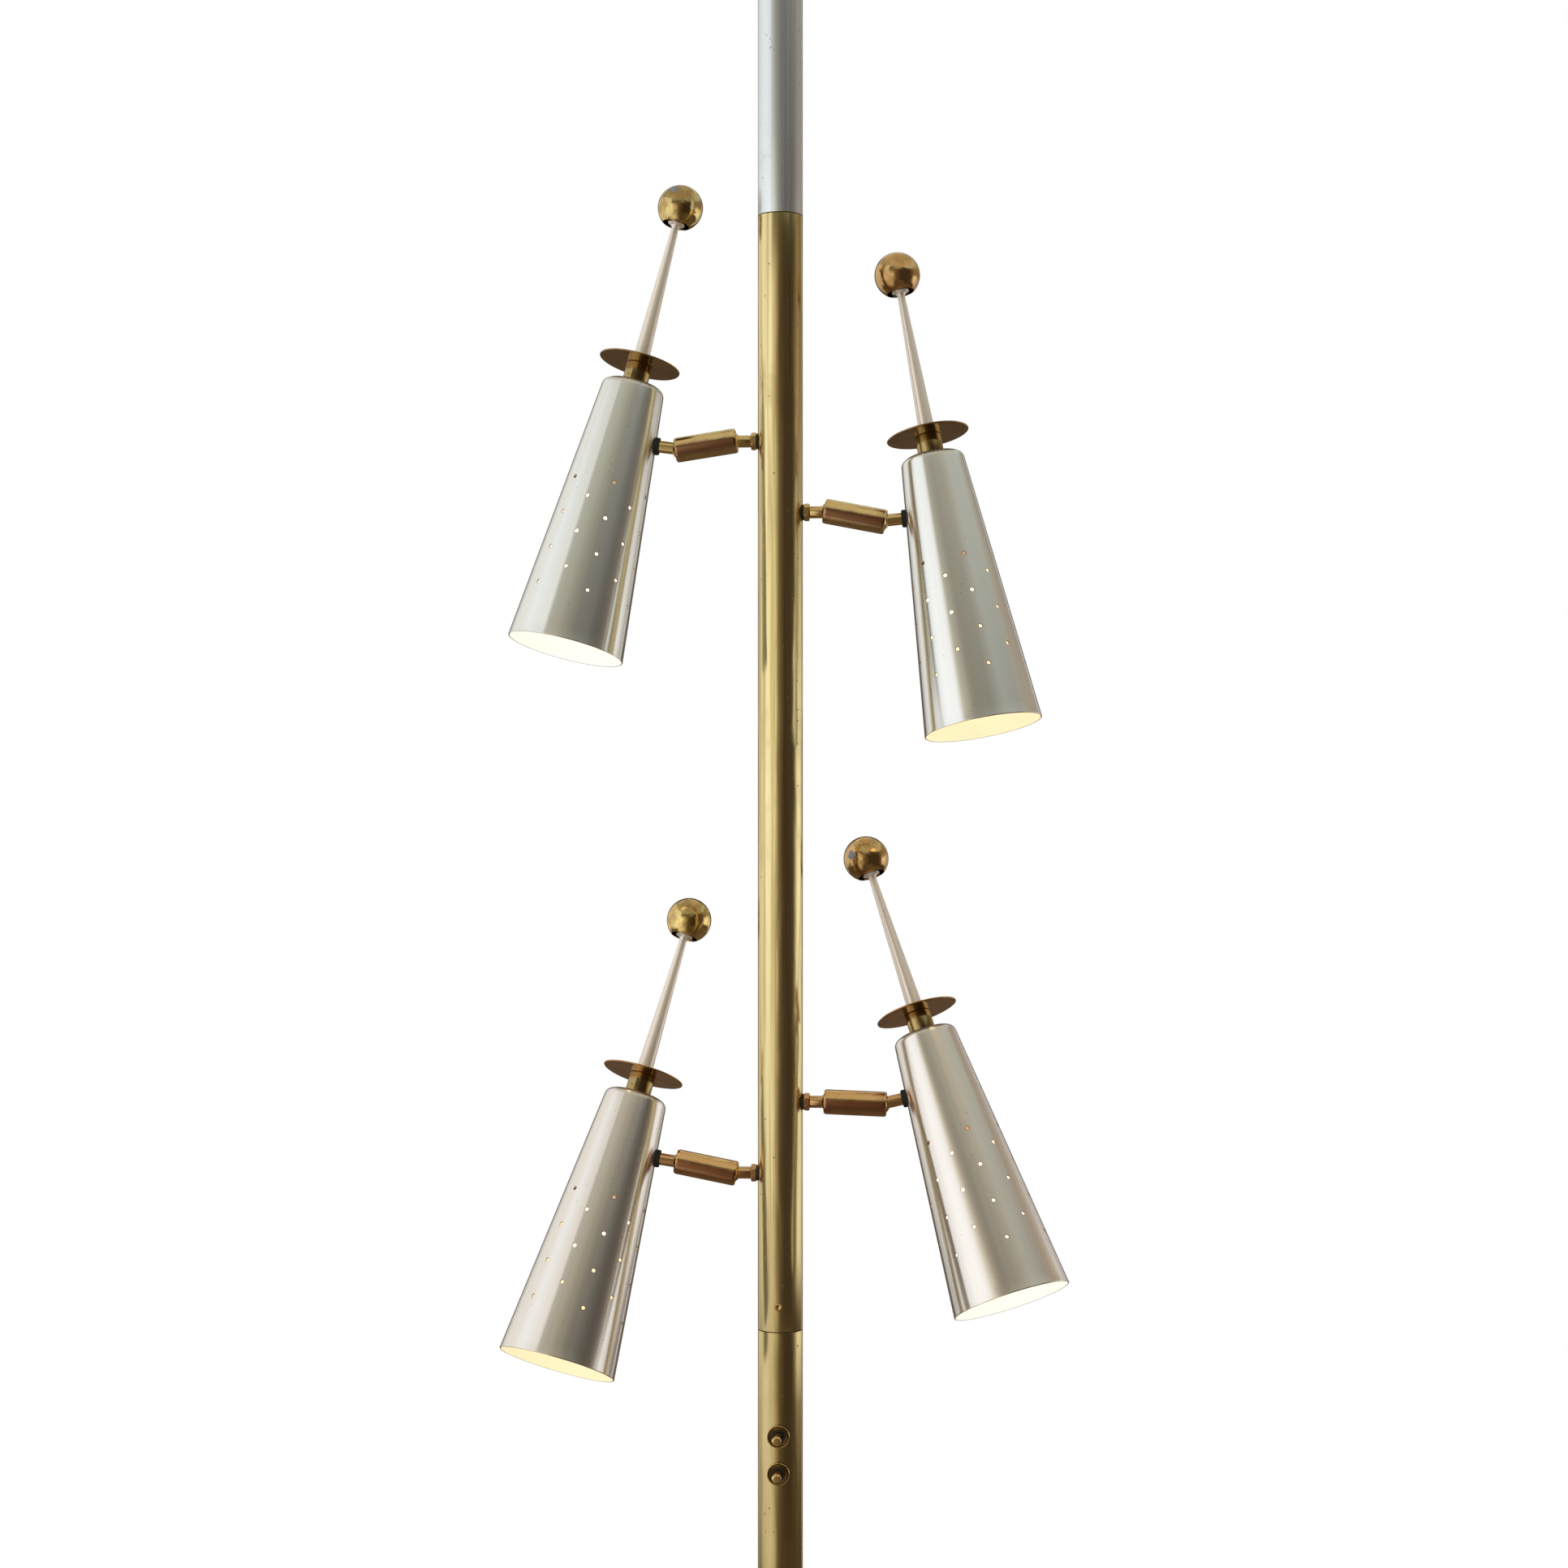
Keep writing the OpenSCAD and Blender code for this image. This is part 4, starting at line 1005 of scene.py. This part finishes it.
def card(name, left, right, low, high, distance, colour, soft=(0, 0, 0, 0), high_colour=None, strength=1.0):
    """A curved studio card, window or wall round the object, for what shines on it to mirror.

    Its edges are bearings from the camera's, in degrees, and heights in m. soft fades the left and right edges over
    so many degrees and the low and high ones over so many metres. high_colour is the colour at the top.
    """
    middle, half = (left + right) / 2, (right - left) / 2
    bm = bmesh.new()
    steps = max(2, int(half / 2))
    rows = []
    for k in range(steps + 1):
        a = math.radians(half * (2 * k / steps - 1))
        x, y = distance * math.sin(a), -distance * math.cos(a)
        rows.append((bm.verts.new((x, y, low)), bm.verts.new((x, y, high))))
    for a, b in zip(rows, rows[1:]):
        bm.faces.new((a[0], b[0], b[1], a[1]))
    s = Shader(name)
    x, y, z = s.xyz()
    bearing = s.bearing(x, y)
    cover = 1.0
    for value, edge, fade in ((bearing, -half, soft[0]), (bearing, half, -soft[1]), (z, low, soft[2]),
                              (z, high, -soft[3])):
        if fade:
            part = s.smooth(value, edge, edge + fade)
            cover = part if cover == 1.0 else s.times(cover, part)
    rise = s.smooth(z, 3.0, min(high, 4.6))
    light = s.node("ShaderNodeEmission", {"Color": s.mix(rise, colour, high_colour or colour), "Strength": strength})
    clear = s.node("ShaderNodeBsdfTransparent")
    both = s.node("ShaderNodeMixShader", {0: cover, 1: clear.outputs[0], 2: light.outputs[0]}).outputs[0]
    return flag(link(name, meshed(name, bm), turn("Z", math.degrees(VIEW_AZIMUTH) + middle), s.surface(both)))


def flag(o):
    """Only mirrored rays meet it: it neither shows, lights nor shades."""
    o.visible_camera = False
    o.visible_diffuse = False
    o.visible_shadow = False
    o.visible_transmission = False
    return o


def lid(name, z, radius, colour, hole=0.0, left=-180, right=180, soft=0):
    """A level card over or under the object, at height z and between two bearings from the camera's, in degrees.

    soft fades its two ends over so many degrees, and its inner edge outwards.
    """
    bm = bmesh.new()
    steps = 48
    rows = []
    for k in range(steps + 1):
        a = VIEW_AZIMUTH + math.radians(left + (right - left) * k / steps)
        rows.append([bm.verts.new((r * math.sin(a), -r * math.cos(a), z)) for r in (max(hole, 0.001), radius)])
    for a, b in zip(rows, rows[1:]):
        bm.faces.new((a[0], a[1], b[1], b[0]))
    s = Shader(name)
    shown = s.node("ShaderNodeEmission", {"Color": (*colour, 1), "Strength": 1.0}).outputs[0]
    if soft:
        x, y, _ = s.xyz()
        bearing = s.math("SUBTRACT", s.bearing(x, y), math.degrees(VIEW_AZIMUTH))
        cover = s.times(s.smooth(bearing, left, left + soft), s.smooth(bearing, right, right - soft))
        cover = s.times(cover, s.smooth(s.length(x, y), hole, (hole + radius) / 2))
        clear = s.node("ShaderNodeBsdfTransparent").outputs[0]
        shown = s.node("ShaderNodeMixShader", {0: cover, 1: clear, 2: shown}).outputs[0]
    return flag(link(name, meshed(name, bm), ID, s.surface(shown)))


# a dim warm room with tall windows on the left and a low one on the right
card("room", -150, 150, -1.0, 4.9, 3.50, (0.060, 0.045, 0.033), (14, 14, 0, 0), (0.44, 0.46, 0.38))
card("room_back", 140, 220, -1.0, 4.5, 3.54, (0.12, 0.09, 0.06), (18, 18, 0, 0.5), (0.34, 0.28, 0.18))
lid("room_ceiling", 4.9, 3.5, (0.54, 0.50, 0.39))
lid("ceiling_right", 4.88, 3.5, (0.62, 0.50, 0.36), 2.2, -10, 85, 30)
lid("room_carpet", 0.001, 2.7, (0.13, 0.1, 0.07), 0.035)
card("wall_left", -150, -80, -0.6, 4.6, 3.46, (0.86, 0.84, 0.78), (16, 20, 1.2, 0.7))
card("window_left", -118, -41, -1.0, 4.7, 3.42, (0.96, 0.97, 0.97), (26, 9, 0.3, 0.4))
card("window_core", -92, -38, 0.2, 2.9, 3.40, (0.96, 0.97, 0.97), (24, 10, 0.9, 0.9), strength=1.2)
lid("floor_glow", 0.002, 2.7, (0.86, 0.80, 0.68), 0.5, -90, -12, 28)
card("window_step", -52, -10, 0.75, 2.3, 3.43, (0.93, 0.90, 0.74), (2, 20, 0.35, 0.35))
card("window_glow", -70, -4, -1.0, 3.4, 3.44, (0.74, 0.68, 0.54), (2, 36, 0.3, 0.9))
card("wall_front", -60, 18, -1.0, 4.2, 3.48, (0.150, 0.108, 0.064), (2, 24, 0.3, 1.5), (0.34, 0.33, 0.25))
card("wall_right", 60, 150, -0.2, 4.2, 3.46, (0.33, 0.26, 0.18), (44, 20, 0.7, 1.4))
card("window_right", 75, 150, 0.1, 2.4, 3.42, (0.98, 0.96, 0.92), (18, 34, 0.5, 1.0), strength=1.12)
card("wall_high", 15, 160, 3.0, 4.9, 3.44, (0.54, 0.57, 0.51), (40, 30, 0.9, 0))


key = bpy.data.lights.new("key", "AREA")
key.shape = "SQUARE"
key.size = 1.6
key.energy = 20
key.color = (1.0, 0.97, 0.92)
key_place = Vector((-2.0, -2.2, 3.6))
softbox = bpy.data.objects.new("key", key)
scene.collection.objects.link(softbox)
softbox.location = key_place
softbox.rotation_euler = (Vector((0, 0, 1.3)) - key_place).to_track_quat("-Z", "Y").to_euler()
softbox.visible_glossy = False
